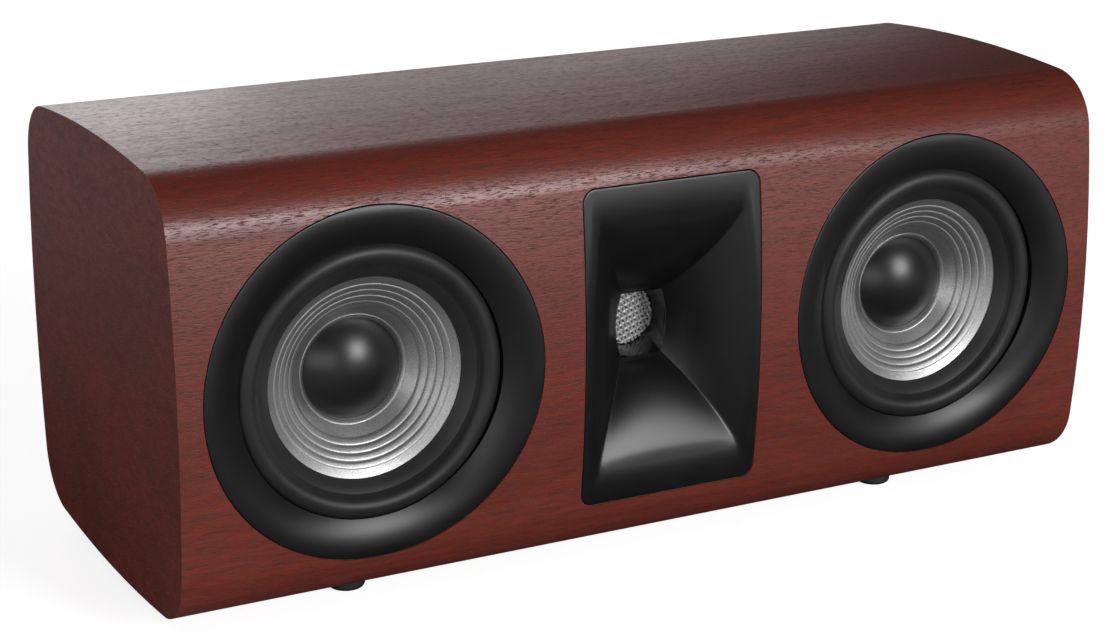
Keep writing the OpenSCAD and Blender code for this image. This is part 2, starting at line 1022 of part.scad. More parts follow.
module horn_lips() {
    side_foot = flare_half(3, flare_w, throat_w, flare_side_r);
    side_edge = horn_w / 2 - 0.6;
    end_foot_depth = 5.6;
    end_foot = flare_half(end_foot_depth, flare_h, throat_h, flare_end_r);
    end_edge = horn_h / 2 - 1.6;
    from_front(0)
        rotate([90, 0, 0])
            translate([0, 0, -horn_h / 2 - 1])
                linear_extrude(height = horn_h + 2)
                    lip_profile(side_edge, -0.2, side_foot, 3, 13);
    from_front(0)
        rotate([90, 0, 90])
            translate([0, 0, -horn_w / 2 - 1])
                linear_extrude(height = horn_w + 2)
                    lip_profile(
                        end_edge,
                        drop(end_edge, front_bow_r) - 0.15,
                        end_foot,
                        end_foot_depth,
                        40
                    );
}

throat_flange_t = 4;
horn_back = mesh_depth + mesh_t + throat_flange_t;
mesh_seat_r = throat_r + 0.9;

module horn() {
    color(satin_black)
        difference() {
            union() {
                intersection() {
                    from_front(0)
                        translate([0, 0, -1])
                            linear_extrude(height = horn_seat_depth + 1)
                                rounded_rect(horn_w, horn_h, horn_corner_r);
                    front_limit();
                }
                flare_space(horn_t, horn_seat_depth - 4, flare_depth + 4);
                from_front(0)
                    translate([0, 0, flare_depth - 2])
                        cylinder(h = horn_back - flare_depth + 2, r = throat_r + horn_t);
                from_front(0)
                    translate([0, 0, horn_back - throat_flange_t])
                        cylinder(h = throat_flange_t, r = hf_r);
            }
            flare_space(0, -6, flare_end);
            horn_lips();
            from_front(0) {
                translate([0, 0, flare_depth])
                    cylinder(h = mesh_depth - flare_depth - 0.8, r = throat_r);
                translate([0, 0, flare_depth])
                    cylinder(h = mesh_depth - flare_depth + 1, r = throat_r - 0.7);
                translate([0, 0, mesh_depth])
                    cylinder(h = horn_back - mesh_depth + 1, r = mesh_seat_r + pin_gap);
                for (sx = [-1, 1], sy = [-1, 1])
                    translate([sx * horn_screw_x, sy * horn_screw_z, horn_seat_depth - horn_screw_bite])
                        cylinder(h = horn_screw_bite + 1, r = horn_screw_r + pin_gap);
                around(4, hf_screw_circle_r, 45)
                    translate([0, 0, horn_back - throat_flange_t - 1])
                        cylinder(h = throat_flange_t + 2, r = hf_screw_r + pin_gap);
            }
        }
}

// Round mesh behind the throat, with its holes in staggered rows
module throat_mesh() {
    rows = floor((mesh_seat_r - mesh_hole_r - 0.8) / mesh_pitch);
    lean = 60;
    color(steel)
        from_front(0)
            translate([0, 0, mesh_depth])
                difference() {
                    cylinder(h = mesh_t, r = mesh_seat_r);
                    for (i = [-rows * 2 : rows * 2], j = [-rows * 2 : rows * 2]) {
                        p = mesh_pitch * (i * [1, 0] + j * [cos(lean), sin(lean)]);
                        if (norm(p) < throat_r - 0.7 - mesh_hole_r)
                            translate([p[0], p[1], -1])
                                cylinder(h = mesh_t + 2, r = mesh_hole_r, $fn = 24);
                    }
                }
}

module horn_screws() {
    len = baffle_t - horn_seat_depth + horn_screw_bite - 0.5;
    color(steel)
        from_front(0)
            for (sx = [-1, 1], sy = [-1, 1])
                translate([sx * horn_screw_x, sy * horn_screw_z, baffle_t])
                    rotate_extrude()
                        polygon([
                            [0, 2],
                            [2.4, 2],
                            [3, 1.2],
                            [3, 0],
                            [horn_screw_r, 0],
                            [horn_screw_r, 1.5 - len],
                            [0, -len]
                        ]);
}

// Tweeter motor behind the throat

hf_screw_circle_r = hf_r - 6;
hf_screw_r = 1.4;
hf_plate_t = 5;
hf_gap = 0.5;
hf_ring_in = dome_r + 0.6;
hf_dome_seat = horn_back + hf_plate_t;
hf_top = hf_dome_seat + 0.5;
hf_top_t = 4;

module hf_faceplate() {
    color(satin_black)
        from_front(0)
            translate([0, 0, horn_back])
                difference() {
                    cylinder(h = hf_plate_t, r = hf_r);
                    translate([0, 0, -1])
                        cylinder(h = hf_plate_t + 2, r = hf_ring_in);
                    around(4, hf_screw_circle_r, 45)
                        translate([0, 0, -1])
                            cylinder(h = hf_plate_t + 2, r = hf_screw_r + pin_gap);
                }
}

module hf_dome() {
    rise = 5.5;
    ball_r = (dome_r * dome_r + rise * rise) / (2 * rise);
    color(silver)
        from_front(0)
            rotate_extrude() {
                intersection() {
                    translate([0, hf_dome_seat + 0.4 - rise + ball_r - 0.4])
                        difference() {
                            circle(ball_r);
                            circle(ball_r - 0.4);
                        }
                    translate([0, hf_dome_seat - rise - 1])
                        square([dome_r, rise + 1.2]);
                }
                translate([dome_r - 0.4, hf_dome_seat])
                    square([4, 0.5]);
                translate([dome_r - 0.4, hf_dome_seat])
                    square([0.4, 5]);
            }
}

module hf_top_plate() {
    color(steel)
        from_front(0)
            translate([0, 0, hf_top])
                difference() {
                    cylinder(h = hf_top_t, r = hf_r);
                    translate([0, 0, -1])
                        cylinder(h = hf_top_t + 2, r = dome_r + hf_gap);
                    around(4, hf_screw_circle_r, 45)
                        translate([0, 0, -1])
                            cylinder(h = hf_top_t + 2, r = hf_screw_r + pin_gap);
                }
}

module hf_magnet() {
    color(ferrite)
        from_front(0)
            translate([0, 0, hf_top + hf_top_t])
                difference() {
                    cylinder(h = hf_magnet_t, r = hf_r);
                    translate([0, 0, -1])
                        cylinder(h = hf_magnet_t + 2, r = dome_r + 5);
                }
}

module hf_yoke() {
    back = hf_top + hf_top_t + hf_magnet_t;
    color(steel)
        from_front(0)
            rotate_extrude()
                polygon([
                    [0, hf_top],
                    [dome_r - 0.4 - hf_gap, hf_top],
                    [dome_r - 0.4 - hf_gap, back],
                    [hf_r, back],
                    [hf_r, back + 3],
                    [hf_r - 1, back + 4],
                    [0, back + 4]
                ]);
}

module hf_screws() {
    len = throat_flange_t + hf_plate_t + 0.5 + hf_top_t;
    color(steel)
        from_front(0)
            around(4, hf_screw_circle_r, 45)
                translate([0, 0, horn_back - throat_flange_t])
                    rotate_extrude()
                        polygon([
                            [0, -1.8],
                            [2.1, -1.8],
                            [2.6, -1.2],
                            [2.6, 0],
                            [hf_screw_r, 0],
                            [hf_screw_r, len - 0.4],
                            [0, len - 0.4]
                        ]);
}

// Crossover on spacers on the inner face of the left end board

board_size = [84, 96, 1.6];
// The parts on the board are laid out in 96ths of its length
pitch = board_size[1] / 96;
spacer_h = 6;
spacer_in = 6;
module on_left_end() {
    translate([-cab_w / 2 + veneer_t + end_t, rear_y - inner_inset - board_size[0] / 2 - 18, mid_z])
        rotate([0, 90, 0])
            rotate([0, 0, 90])
                children();
}

module board_corners() {
    for (sx = [-1, 1], sy = [-1, 1])
        translate([sx * (board_size[0] / 2 - spacer_in), sy * (board_size[1] / 2 - spacer_in), 0])
            children();
}

module crossover_board() {
    color([0.16, 0.30, 0.18])
        on_left_end()
            difference() {
                translate([-board_size[0] / 2, -board_size[1] / 2, spacer_h])
                    cube(board_size);
                board_corners()
                    cylinder(h = spacer_h + board_size[2] + 1, r = 1.6 + pin_gap);
            }
}

module crossover_spacers() {
    color(steel)
        on_left_end()
            board_corners() {
                cylinder(h = spacer_h, r = 3.5);
                cylinder(h = spacer_h + board_size[2] + 3, r = 1.6);
            }
}

module crossover_coils() {
    color(copper)
        on_left_end()
            for (p = [[-18, -20, 17], [20, 22, 14]])
                translate([p[0] * pitch, p[1] * pitch, spacer_h + board_size[2]])
                    difference() {
                        cylinder(h = 13 * pitch, r = p[2] * pitch);
                        translate([0, 0, -1])
                            cylinder(h = 13 * pitch + 2, r = p[2] / 2 * pitch);
                    }
}

module crossover_capacitors() {
    color([0.55, 0.12, 0.10])
        on_left_end()
            for (p = [[-24, 16, 8], [-6, 34, 6], [18, -8, 7]])
                translate([p[0] * pitch, p[1] * pitch, spacer_h + board_size[2]])
                    cylinder(h = 20 * pitch, r = p[2] * pitch);
}

module crossover_resistors() {
    color([0.85, 0.84, 0.80])
        on_left_end()
            for (y = [-28, -42])
                translate([6 * pitch, y * pitch, spacer_h + board_size[2]])
                    cube([24 * pitch, 9 * pitch, 9 * pitch]);
}

// Terminal cup with two binding posts

cup_corner_r = 8;
cup_flange_t = 3;
cup_face = drop(cup_h / 2, rear_bow_r) + 0.3;
cup_seat_depth = cup_face + cup_flange_t;
rear_screw_r = 1.6;
rear_screw_len = 9;
post_base_t = 3;
stud_r = 3.1;
cup_in_w = cup_w - 2 * cup_rim;
cup_in_h = cup_h - 2 * cup_rim;

module cup_screw_places() {
    for (sx = [-1, 1], sy = [-1, 1])
        translate([sx * (cup_w / 2 - cup_rim / 2), sy * (cup_h / 2 - cup_rim / 2), 0])
            children();
}

module terminal_cup() {
    color(satin_black)
        from_rear(0)
            difference() {
                union() {
                    translate([0, 0, cup_face])
                        linear_extrude(height = cup_flange_t)
                            rounded_rect(cup_w, cup_h, cup_corner_r);
                    translate([0, 0, cup_face + 1])
                        linear_extrude(height = cup_depth + cup_t - 1)
                            rounded_rect(cup_in_w + 2 * cup_t, cup_in_h + 2 * cup_t, cup_corner_r);
                }
                translate([0, 0, cup_face - 1])
                    linear_extrude(height = cup_depth + 1)
                        rounded_rect(cup_in_w, cup_in_h, cup_corner_r - cup_t);
                for (s = [-1, 1])
                    translate([s * post_gap / 2, 0, cup_face])
                        cylinder(h = cup_depth + cup_t + 1, r = stud_r + pin_gap);
                cup_screw_places()
                    cylinder(h = cup_seat_depth + 1, r = rear_screw_r + pin_gap);
            }
}

post_floor = cup_face + cup_depth;
module post_studs() {
    tip = post_floor - post_base_t - knob_len + 1;
    end = post_floor + cup_t + 9;
    color(gold)
        from_rear(0)
            for (s = [-1, 1])
                translate([s * post_gap / 2, 0, 0])
                    difference() {
                        rotate_extrude()
                            polygon([
                                [0, tip],
                                [stud_r - 0.4, tip],
                                [stud_r, tip + 0.6],
                                [stud_r, post_floor - post_base_t],
                                [knob_r, post_floor - post_base_t],
                                [knob_r, post_floor],
                                [stud_r, post_floor],
                                [stud_r, post_floor + cup_t],
                                [stud_r + 2.6, post_floor + cup_t],
                                [stud_r + 2.6, post_floor + cup_t + 3],
                                [stud_r, post_floor + cup_t + 3],
                                [stud_r, end],
                                [0, end]
                            ]);
                        translate([0, 0, tip - 1])
                            cylinder(h = socket_depth + 1, r = socket_r);
                    }
}

// Knob with moulded grips, threaded on the stud
module knob(s) {
    start = post_floor - post_base_t - knob_len;
    grips = 12;
    from_rear(s * post_gap / 2)
        difference() {
            rotate_extrude()
                polygon([
                    [stud_r + 0.3, start],
                    [knob_r - 1.6, start],
                    [knob_r - 0.6, start + 1],
                    [knob_r - 0.6, start + knob_len - 4],
                    [knob_r, start + knob_len - 3],
                    [knob_r, start + knob_len - 0.3],
                    [stud_r + 0.3, start + knob_len - 0.3]
                ]);
            around(grips, knob_r - 0.1)
                translate([0, 0, start - 1])
                    cylinder(h = knob_len - 4.5, r = 0.9);
        }
}

module knob_red() {
    color([0.62, 0.08, 0.07])
        knob(-1);
}

module knob_black() {
    color(satin_black)
        knob(1);
}

module rear_screw(face) {
    translate([0, 0, face])
        rotate_extrude()
            polygon([
                [0, -0.9],
                [2, -0.9],
                [2.8, -0.3],
                [2.8, 0],
                [rear_screw_r, 0],
                [rear_screw_r, rear_screw_len + 1],
                [0, rear_screw_len + 2.5]
            ]);
}

module cup_screws() {
    color(satin_black)
        from_rear(0)
            cup_screw_places()
                rear_screw(cup_face);
}

// Bass ports with a flared mouth

port_t = 2.5;
port_flange_t = 3;
port_face = drop(port_flange_r, rear_bow_r) + 0.3;
port_seat_depth = port_face + port_flange_t;
port_flare_r = 8;

module port_screw_places() {
    around(4, (port_flange_r + port_r + port_flare_r) / 2, 45)
        children();
}

module port(x) {
    out = port_r + port_t;
    color(satin_black)
        from_rear(x)
            difference() {
                rotate_extrude()
                    difference() {
                        polygon([
                            [port_r, port_face],
                            [port_flange_r, port_face],
                            [port_flange_r, port_seat_depth],
                            [out, port_seat_depth],
                            [out, port_len],
                            [port_r, port_len]
                        ]);
                        difference() {
                            translate([port_r - 1, port_face - 1])
                                square([port_flare_r + 0.4, port_flange_t]);
                            translate([port_r + port_flare_r, port_face + port_flare_r - 0.2])
                                circle(port_flare_r);
                        }
                    }
                port_screw_places()
                    cylinder(h = port_seat_depth + 1, r = rear_screw_r + pin_gap);
            }
}

module port_left() {
    port(-port_x);
}

module port_right() {
    port(port_x);
}

module port_screws() {
    color(satin_black)
        for (s = [-1, 1])
            from_rear(s * port_x)
                port_screw_places()
                    rear_screw(port_face);
}

wrap_veneer();
end_veneers();
front_baffle();
top_panel();
bottom_panel();
rear_panel();
left_end_panel();
right_end_panel();
inner_braces();
foot_front_left();
foot_front_right();
foot_rear_left();
foot_rear_right();
foot_screws();
trim_ring_left();
basket_left();
surround_left();
cone_left();
dust_cap_left();
voice_coil_left();
spider_left();
top_plate_left();
magnet_left();
yoke_left();
trim_ring_right();
basket_right();
surround_right();
cone_right();
dust_cap_right();
voice_coil_right();
spider_right();
top_plate_right();
magnet_right();
yoke_right();
woofer_screws();
horn();
throat_mesh();
horn_screws();
hf_faceplate();
hf_dome();
hf_top_plate();
hf_magnet();
hf_yoke();
hf_screws();
crossover_board();
crossover_spacers();
crossover_coils();
crossover_capacitors();
crossover_resistors();
terminal_cup();
post_studs();
knob_red();
knob_black();
cup_screws();
port_left();
port_right();
port_screws();
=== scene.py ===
import math

import bmesh
import bpy
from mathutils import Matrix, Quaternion, Vector


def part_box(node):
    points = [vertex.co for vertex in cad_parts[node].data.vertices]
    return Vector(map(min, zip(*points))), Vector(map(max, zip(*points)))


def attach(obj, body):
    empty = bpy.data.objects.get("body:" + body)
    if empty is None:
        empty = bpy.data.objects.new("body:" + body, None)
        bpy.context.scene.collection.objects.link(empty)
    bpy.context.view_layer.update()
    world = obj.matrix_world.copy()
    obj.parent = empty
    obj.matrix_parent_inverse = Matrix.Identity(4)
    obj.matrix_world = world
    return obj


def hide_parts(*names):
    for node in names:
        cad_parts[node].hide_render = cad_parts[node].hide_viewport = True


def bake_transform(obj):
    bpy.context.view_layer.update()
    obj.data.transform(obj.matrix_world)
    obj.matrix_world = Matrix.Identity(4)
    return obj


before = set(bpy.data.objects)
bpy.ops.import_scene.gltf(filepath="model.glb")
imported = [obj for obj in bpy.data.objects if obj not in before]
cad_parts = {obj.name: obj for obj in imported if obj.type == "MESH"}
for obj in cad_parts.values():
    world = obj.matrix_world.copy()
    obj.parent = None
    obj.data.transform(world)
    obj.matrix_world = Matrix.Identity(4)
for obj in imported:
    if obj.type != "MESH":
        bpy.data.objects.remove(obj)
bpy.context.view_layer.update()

# Camera and photo studio.
# White floor and background, one soft box in front on the right, a weaker and lower fill on
# the left, and a soft box behind the cabinet that shines along its top.
PHOTO_SIZE = (1119, 639)
FOCAL_PIXELS = 2436.2
SENSOR_WIDTH = 36.0
CAMERA_PLACE = Vector((-0.5384, -0.9991, 0.4369))
CAMERA_AIM = Vector((-0.0591, -0.1008, 0.1256))
CAMERA_ROLL = 0.0025

scene = bpy.context.scene
camera_data = bpy.data.cameras.new("photo_camera")
camera_data.sensor_width = SENSOR_WIDTH
camera_data.lens = FOCAL_PIXELS / PHOTO_SIZE[0] * SENSOR_WIDTH
camera_data.clip_start = 0.01
camera = bpy.data.objects.new("photo_camera", camera_data)
camera.location = CAMERA_PLACE
camera_turn = (CAMERA_AIM - CAMERA_PLACE).to_track_quat("-Z", "Y")
camera.rotation_euler = (camera_turn @ Quaternion((0, 0, 1), CAMERA_ROLL)).to_euler()
scene.collection.objects.link(camera)
scene.camera = camera
scene.view_settings.view_transform = "Standard"


def soft_box(name, place, aim, width, height, watts):
    lamp = bpy.data.lights.new(name, "AREA")
    lamp.shape = "RECTANGLE"
    lamp.size = width
    lamp.size_y = height
    lamp.energy = watts
    box = bpy.data.objects.new(name, lamp)
    box.location = place
    box.rotation_euler = (Vector(aim) - Vector(place)).to_track_quat("-Z", "Y").to_euler()
    scene.collection.objects.link(box)


soft_box("front_soft_box", (1.52, -4.06, 1.33), (0.0, 0.0, 0.11), 1.6, 1.55, 122.0)
soft_box("left_fill", (-1.72, -2.46, 0.52), (0.0, 0.0, 0.11), 2.4, 1.0, 17.0)
soft_box("rear_soft_box", (-0.20, 2.3, 0.95), (0.0, 0.0, 0.15), 1.9, 1.4, 12.0)


def put(tree, kind, inputs=None, **settings):
    """Adds a shader node. Each input is a plain value or another node's output."""
    knot = tree.nodes.new(kind)
    for key, value in settings.items():
        setattr(knot, key, value)
    for key, value in (inputs or {}).items():
        if isinstance(value, bpy.types.NodeSocket):
            tree.links.new(value, knot.inputs[key])
        else:
            knot.inputs[key].default_value = value
    return knot


def figure(tree, operation, first, second=0.0):
    """One sum of two values, such as MULTIPLY or ADD."""
    return put(tree, "ShaderNodeMath", {0: first, 1: second}, operation=operation).outputs[0]


def by_ray(tree, mirrored, other):
    """1 for what the camera sees directly, one level in mirrors and glass, another elsewhere."""
    path = put(tree, "ShaderNodeLightPath")
    soft = figure(tree, "MAXIMUM", path.outputs["Is Glossy Ray"],
                  path.outputs["Is Transmission Ray"])
    level = put(tree, "ShaderNodeMix", {0: soft, 2: other, 3: mirrored}).outputs[0]
    return figure(tree, "MAXIMUM", path.outputs["Is Camera Ray"], level)


# The background is white to the camera. In reflections it is white straight behind the
# cabinet and greyer to the sides, as a lit paper sweep is.
world = bpy.data.worlds.new("white_studio")
scene.world = world
world.use_nodes = True
sky = world.node_tree
sky.nodes.clear()
SWEEP_MIDDLE = (-0.25, 0.94, 0.0)
sweep_way = put(sky, "ShaderNodeTexCoord").outputs["Generated"]
sweep_side = put(sky, "ShaderNodeVectorMath", {0: sweep_way, 1: SWEEP_MIDDLE},
                 operation="DOT_PRODUCT").outputs["Value"]
sweep_white = put(sky, "ShaderNodeMapRange", {"Value": sweep_side, "From Min": 0.57,
                  "From Max": 0.68, "To Min": 0.04, "To Max": 1.0},
                  interpolation_type="SMOOTHSTEP").outputs[0]
sky_light = put(sky, "ShaderNodeBackground", {"Strength": by_ray(sky, sweep_white, 0.12)})
put(sky, "ShaderNodeOutputWorld", {"Surface": sky_light.outputs[0]})

# The floor is white to the camera. Seen in mirrors it has painted shade close to the cabinet,
# except in front on the left, where the painted shade is mostly left out.
FLOOR_HALF = 4.0
FLOOR_LEFT_WAY = (-0.85, -0.53, 0.0)
floor_mesh = bpy.data.meshes.new("studio_floor")
floor_mesh.from_pydata(
    [(-FLOOR_HALF, -FLOOR_HALF, 0), (FLOOR_HALF, -FLOOR_HALF, 0),
     (FLOOR_HALF, FLOOR_HALF, 0), (-FLOOR_HALF, FLOOR_HALF, 0)],
    [], [(0, 1, 2, 3)])
floor = bpy.data.objects.new("studio_floor", floor_mesh)
scene.collection.objects.link(floor)
floor_paint = bpy.data.materials.new("studio_floor")
floor_paint.use_nodes = True
tree = floor_paint.node_tree
tree.nodes.clear()
mirrored = put(tree, "ShaderNodeLightPath").outputs["Is Glossy Ray"]
floor_way = put(tree, "ShaderNodeTexCoord").outputs["Object"]
floor_reach = put(tree, "ShaderNodeVectorMath", {0: floor_way},
                  operation="LENGTH").outputs["Value"]
# Painted shade seen in mirrors, darkest close to the cabinet.
floor_shade = put(tree, "ShaderNodeMapRange", {"Value": floor_reach, "From Min": 0.22,
                  "From Max": 0.85, "To Min": 0.78, "To Max": 0.02},
                  interpolation_type="SMOOTHSTEP").outputs[0]
# In front on the left the painted shade is mostly left out, so mirrors show the floor light
# there.
floor_left = put(tree, "ShaderNodeVectorMath", {0: floor_way, 1: FLOOR_LEFT_WAY},
                 operation="DOT_PRODUCT").outputs["Value"]
floor_left = put(tree, "ShaderNodeMapRange", {"Value": floor_left, "From Min": 0.15,
                 "From Max": 0.42, "To Min": 1.0, "To Max": 0.1},
                 interpolation_type="SMOOTHSTEP").outputs[0]
floor_shade = figure(tree, "MULTIPLY", floor_shade, floor_left)
floor_white = figure(tree, "SUBTRACT", 0.8, figure(tree, "MULTIPLY", mirrored, floor_shade))
matt = put(tree, "ShaderNodeBsdfDiffuse", {"Color": floor_white})
glow = put(tree, "ShaderNodeEmission",
           {"Strength": figure(tree, "MULTIPLY", by_ray(tree, 0.02, 0.0), 0.8)})
both = put(tree, "ShaderNodeAddShader", {0: matt.outputs[0], 1: glow.outputs[0]})
put(tree, "ShaderNodeOutputMaterial", {"Surface": both.outputs[0]})
floor_mesh.materials.append(floor_paint)


# Cabinet boards.
# Front, top, bottom, rear and end boards and two window braces, all of medium density
# fibreboard, mitred and glued. They show only inside the ports and the driver holes.
def surface_group():
    """Shader group for small unevenness: colour mottle, roughness smudges and fine grain."""
    group = bpy.data.node_groups.new("surface_unevenness", "ShaderNodeTree")
    sockets = group.interface
    for name, kind in (("Colour", "NodeSocketColor"), ("Second Colour", "NodeSocketColor"),
                       ("Roughness", "NodeSocketFloat"), ("Smudge", "NodeSocketFloat"),
                       ("Grain per Metre", "NodeSocketFloat"),
                       ("Mottle per Metre", "NodeSocketFloat")):
        sockets.new_socket(name, in_out="INPUT", socket_type=kind)
    for name, kind in (("Colour", "NodeSocketColor"), ("Roughness", "NodeSocketFloat"),
                       ("Height", "NodeSocketFloat")):
        sockets.new_socket(name, in_out="OUTPUT", socket_type=kind)
    given = put(group, "NodeGroupInput").outputs
    place = put(group, "ShaderNodeTexCoord").outputs["Object"]
    grain = put(group, "ShaderNodeTexNoise", {"Vector": place, "Scale": given["Grain per Metre"],
                "Detail": 3.0, "Roughness": 0.6}).outputs[0]
    mottle = put(group, "ShaderNodeTexNoise", {"Vector": place,
                 "Scale": given["Mottle per Metre"], "Detail": 4.0}).outputs[0]
    share = put(group, "ShaderNodeMapRange", {"Value": mottle, "From Min": 0.35,
                "From Max": 0.65}).outputs[0]
    speck = put(group, "ShaderNodeMapRange", {"Value": grain, "From Min": 0.35,
                "From Max": 0.7}).outputs[0]
    share = figure(group, "ADD", figure(group, "MULTIPLY", share, 0.6),
                   figure(group, "MULTIPLY", speck, 0.4))
    blend = put(group, "ShaderNodeMix", {0: share, 6: given["Colour"],
                7: given["Second Colour"]}, data_type="RGBA").outputs[2]
    smudge = figure(group, "SUBTRACT", mottle, 0.5)
    smudge = figure(group, "MULTIPLY", smudge, given["Smudge"])
    rough = figure(group, "ADD", given["Roughness"], smudge)
    put(group, "NodeGroupOutput", {"Colour": blend, "Roughness": rough, "Height": grain})
    return group


unevenness = surface_group()


def finish(name, colour, second, roughness, smudge=0.15, grain=3000.0, mottle=60.0,
           bump=0.15, bump_size=0.0002, metallic=0.0, specular=0.5):
    """Material with the unevenness group on it, for one finish of the real object."""
    material = bpy.data.materials.new(name)
    material.use_nodes = True
    tree = material.node_tree
    shader = tree.nodes["Principled BSDF"]
    skin = put(tree, "ShaderNodeGroup", {}, node_tree=unevenness)
    skin.inputs["Colour"].default_value = (*colour, 1)
    skin.inputs["Second Colour"].default_value = (*second, 1)
    skin.inputs["Roughness"].default_value = roughness
    skin.inputs["Smudge"].default_value = smudge
    skin.inputs["Grain per Metre"].default_value = grain
    skin.inputs["Mottle per Metre"].default_value = mottle
    tree.links.new(skin.outputs["Colour"], shader.inputs["Base Color"])
    tree.links.new(skin.outputs["Roughness"], shader.inputs["Roughness"])
    relief = put(tree, "ShaderNodeBump", {"Strength": bump, "Distance": bump_size,
                 "Height": skin.outputs["Height"]})
    tree.links.new(relief.outputs[0], shader.inputs["Normal"])
    shader.inputs["Metallic"].default_value = metallic
    shader.inputs["Specular IOR Level"].default_value = specular
    return material


def coat(material, *names):
    """Puts a material on CAD nodes, whose shape stays as it is."""
    for name in names:
        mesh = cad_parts[name].data
        mesh.materials.clear()
        mesh.materials.append(material)


fibreboard = finish("fibreboard", (0.46, 0.33, 0.20), (0.33, 0.22, 0.12), 0.85,
                    grain=1400.0, mottle=220.0, bump=0.5, bump_size=0.0003)
coat(fibreboard, "front_baffle", "top_panel", "bottom_panel", "rear_panel",
     "left_end_panel", "right_end_panel", "inner_braces")


# Wood veneer.
# One sheet of red-brown mahogany goes round the front, top, back and bottom with its grain
# along the cabinet, and a sheet closes each end. Both are stained and lacquered satin.
def veneer(name, stretch, tone, deep, pore_and_glint_colour, pore_and_glint_share, gloss, specular,
           relief_size):
    """Lacquered wood. stretch is how long the grain runs along X, Y and Z."""
    material = bpy.data.materials.new(name)
    material.use_nodes = True
    tree = material.node_tree
    shader = tree.nodes["Principled BSDF"]
    place = put(tree, "ShaderNodeTexCoord").outputs["Object"]

    def grain(size, detail, distortion=0.0):
        along = [1.0 / (size * s) for s in stretch]
        sized = put(tree, "ShaderNodeVectorMath", {0: place, 1: along}, operation="MULTIPLY")
        return put(tree, "ShaderNodeTexNoise", {"Vector": sized.outputs[0], "Scale": 1.0,
                   "Detail": detail, "Distortion": distortion}).outputs[0]

    def mask(value, low, high):
        return put(tree, "ShaderNodeMapRange", {"Value": value, "From Min": low,
                   "From Max": high}, interpolation_type="SMOOTHSTEP").outputs[0]

    def mixed(share, first, second):
        return put(tree, "ShaderNodeMix", {0: share, 6: first, 7: second},
                   data_type="RGBA").outputs[2]

    bands = mask(grain(0.030, 2.0), 0.35, 0.65)
    streaks = mask(grain(0.0035, 4.0, 0.4), 0.35, 0.68)
    flecks = mask(grain(0.0016, 2.0), 0.60, 0.74)
    fibres = grain(0.0007, 2.0)
    pores = mask(grain(0.00040, 1.0), 0.57, 0.66)
    colour = mixed(figure(tree, "MULTIPLY", streaks, 0.45), (*tone, 1), (*deep, 1))
    colour = mixed(figure(tree, "MULTIPLY", bands, 0.30), colour, (*deep, 1))
    colour = mixed(figure(tree, "MULTIPLY", mask(fibres, 0.42, 0.66), 0.35), colour, (*deep, 1))
    # Flecks and pores take this colour: dark pores on the wrap, and painted glints where the
    # colour is pale, as on the ends.
    colour = mixed(figure(tree, "MULTIPLY", flecks, 0.40), colour, (*pore_and_glint_colour, 1))
    colour = mixed(figure(tree, "MULTIPLY", pores, pore_and_glint_share), colour, (*pore_and_glint_colour, 1))
    tree.links.new(colour, shader.inputs["Base Color"])
    rough = figure(tree, "ADD", figure(tree, "MULTIPLY", pores, 0.30), gloss)
    rough = figure(tree, "ADD", rough, figure(tree, "MULTIPLY", streaks, 0.05))
    tree.links.new(rough, shader.inputs["Roughness"])
    depth = figure(tree, "MULTIPLY", pores, -0.6)
    depth = figure(tree, "ADD", depth, figure(tree, "MULTIPLY", fibres, 1.2))
    relief = put(tree, "ShaderNodeBump", {"Strength": 0.6, "Distance": relief_size,
                 "Height": depth})
    tree.links.new(relief.outputs[0], shader.inputs["Normal"])
    shader.inputs["Specular IOR Level"].default_value = specular
    return material


wrap_wood = veneer("mahogany_wrap", (10.0, 1.0, 1.0), (0.205, 0.036, 0.022),
                   (0.108, 0.017, 0.010), (0.040, 0.012, 0.010), 0.65, 0.32, 0.5, 0.00008)
# The end sheets: a redder, lighter tone, part their own colour and part painted light for the
# dimmer light on the ends, with pale pores and flecks that are painted glints.
end_wood = veneer("mahogany_end", (1.0, 2.4, 1.1), (0.265, 0.035, 0.018),
                  (0.075, 0.012, 0.007), (0.150, 0.085, 0.065), 0.55, 0.42, 0.3, 0.00016)
coat(wrap_wood, "wrap_veneer")
coat(end_wood, "end_veneers")


# Feet.
# Four moulded rubber feet, each held by one countersunk screw.
foot_rubber = finish("foot_rubber", (0.012, 0.012, 0.012), (0.022, 0.022, 0.021), 0.6,
                     grain=2500.0, bump=0.3)
coat(foot_rubber, "foot_front_left", "foot_front_right", "foot_rear_left", "foot_rear_right")
zinc = finish("zinc_screw", (0.46, 0.46, 0.44), (0.34, 0.34, 0.33), 0.38,
              grain=5000.0, mottle=400.0, metallic=1.0, bump=0.1)
coat(zinc, "foot_screws", "crossover_spacers")


# Woofer motors and frames.
# Zinc-plated plates and vented poles, ferrite ring magnets, cast frames with a black powder
# coat, copper coils on a former and corrugated cloth spiders. They sit behind the cones.
plated_steel = finish("plated_steel", (0.50, 0.49, 0.46), (0.36, 0.35, 0.33), 0.34,
                      grain=1800.0, mottle=150.0, metallic=1.0)
ferrite = finish("ferrite", (0.055, 0.055, 0.06), (0.030, 0.030, 0.034), 0.62,
                 grain=1500.0, mottle=90.0, bump=0.4)
powder_coat = finish("powder_coat", (0.018, 0.018, 0.018), (0.030, 0.030, 0.030), 0.5,
                     grain=1700.0, bump=0.5, bump_size=0.00015, specular=0.35)
copper_wire = finish("copper_wire", (0.62, 0.26, 0.12), (0.42, 0.15, 0.06), 0.35,
                     grain=4500.0, metallic=1.0, bump=0.5)
cloth = finish("spider_cloth", (0.52, 0.38, 0.16), (0.36, 0.25, 0.10), 0.9,
               grain=1800.0, mottle=300.0, bump=0.7, bump_size=0.0003)
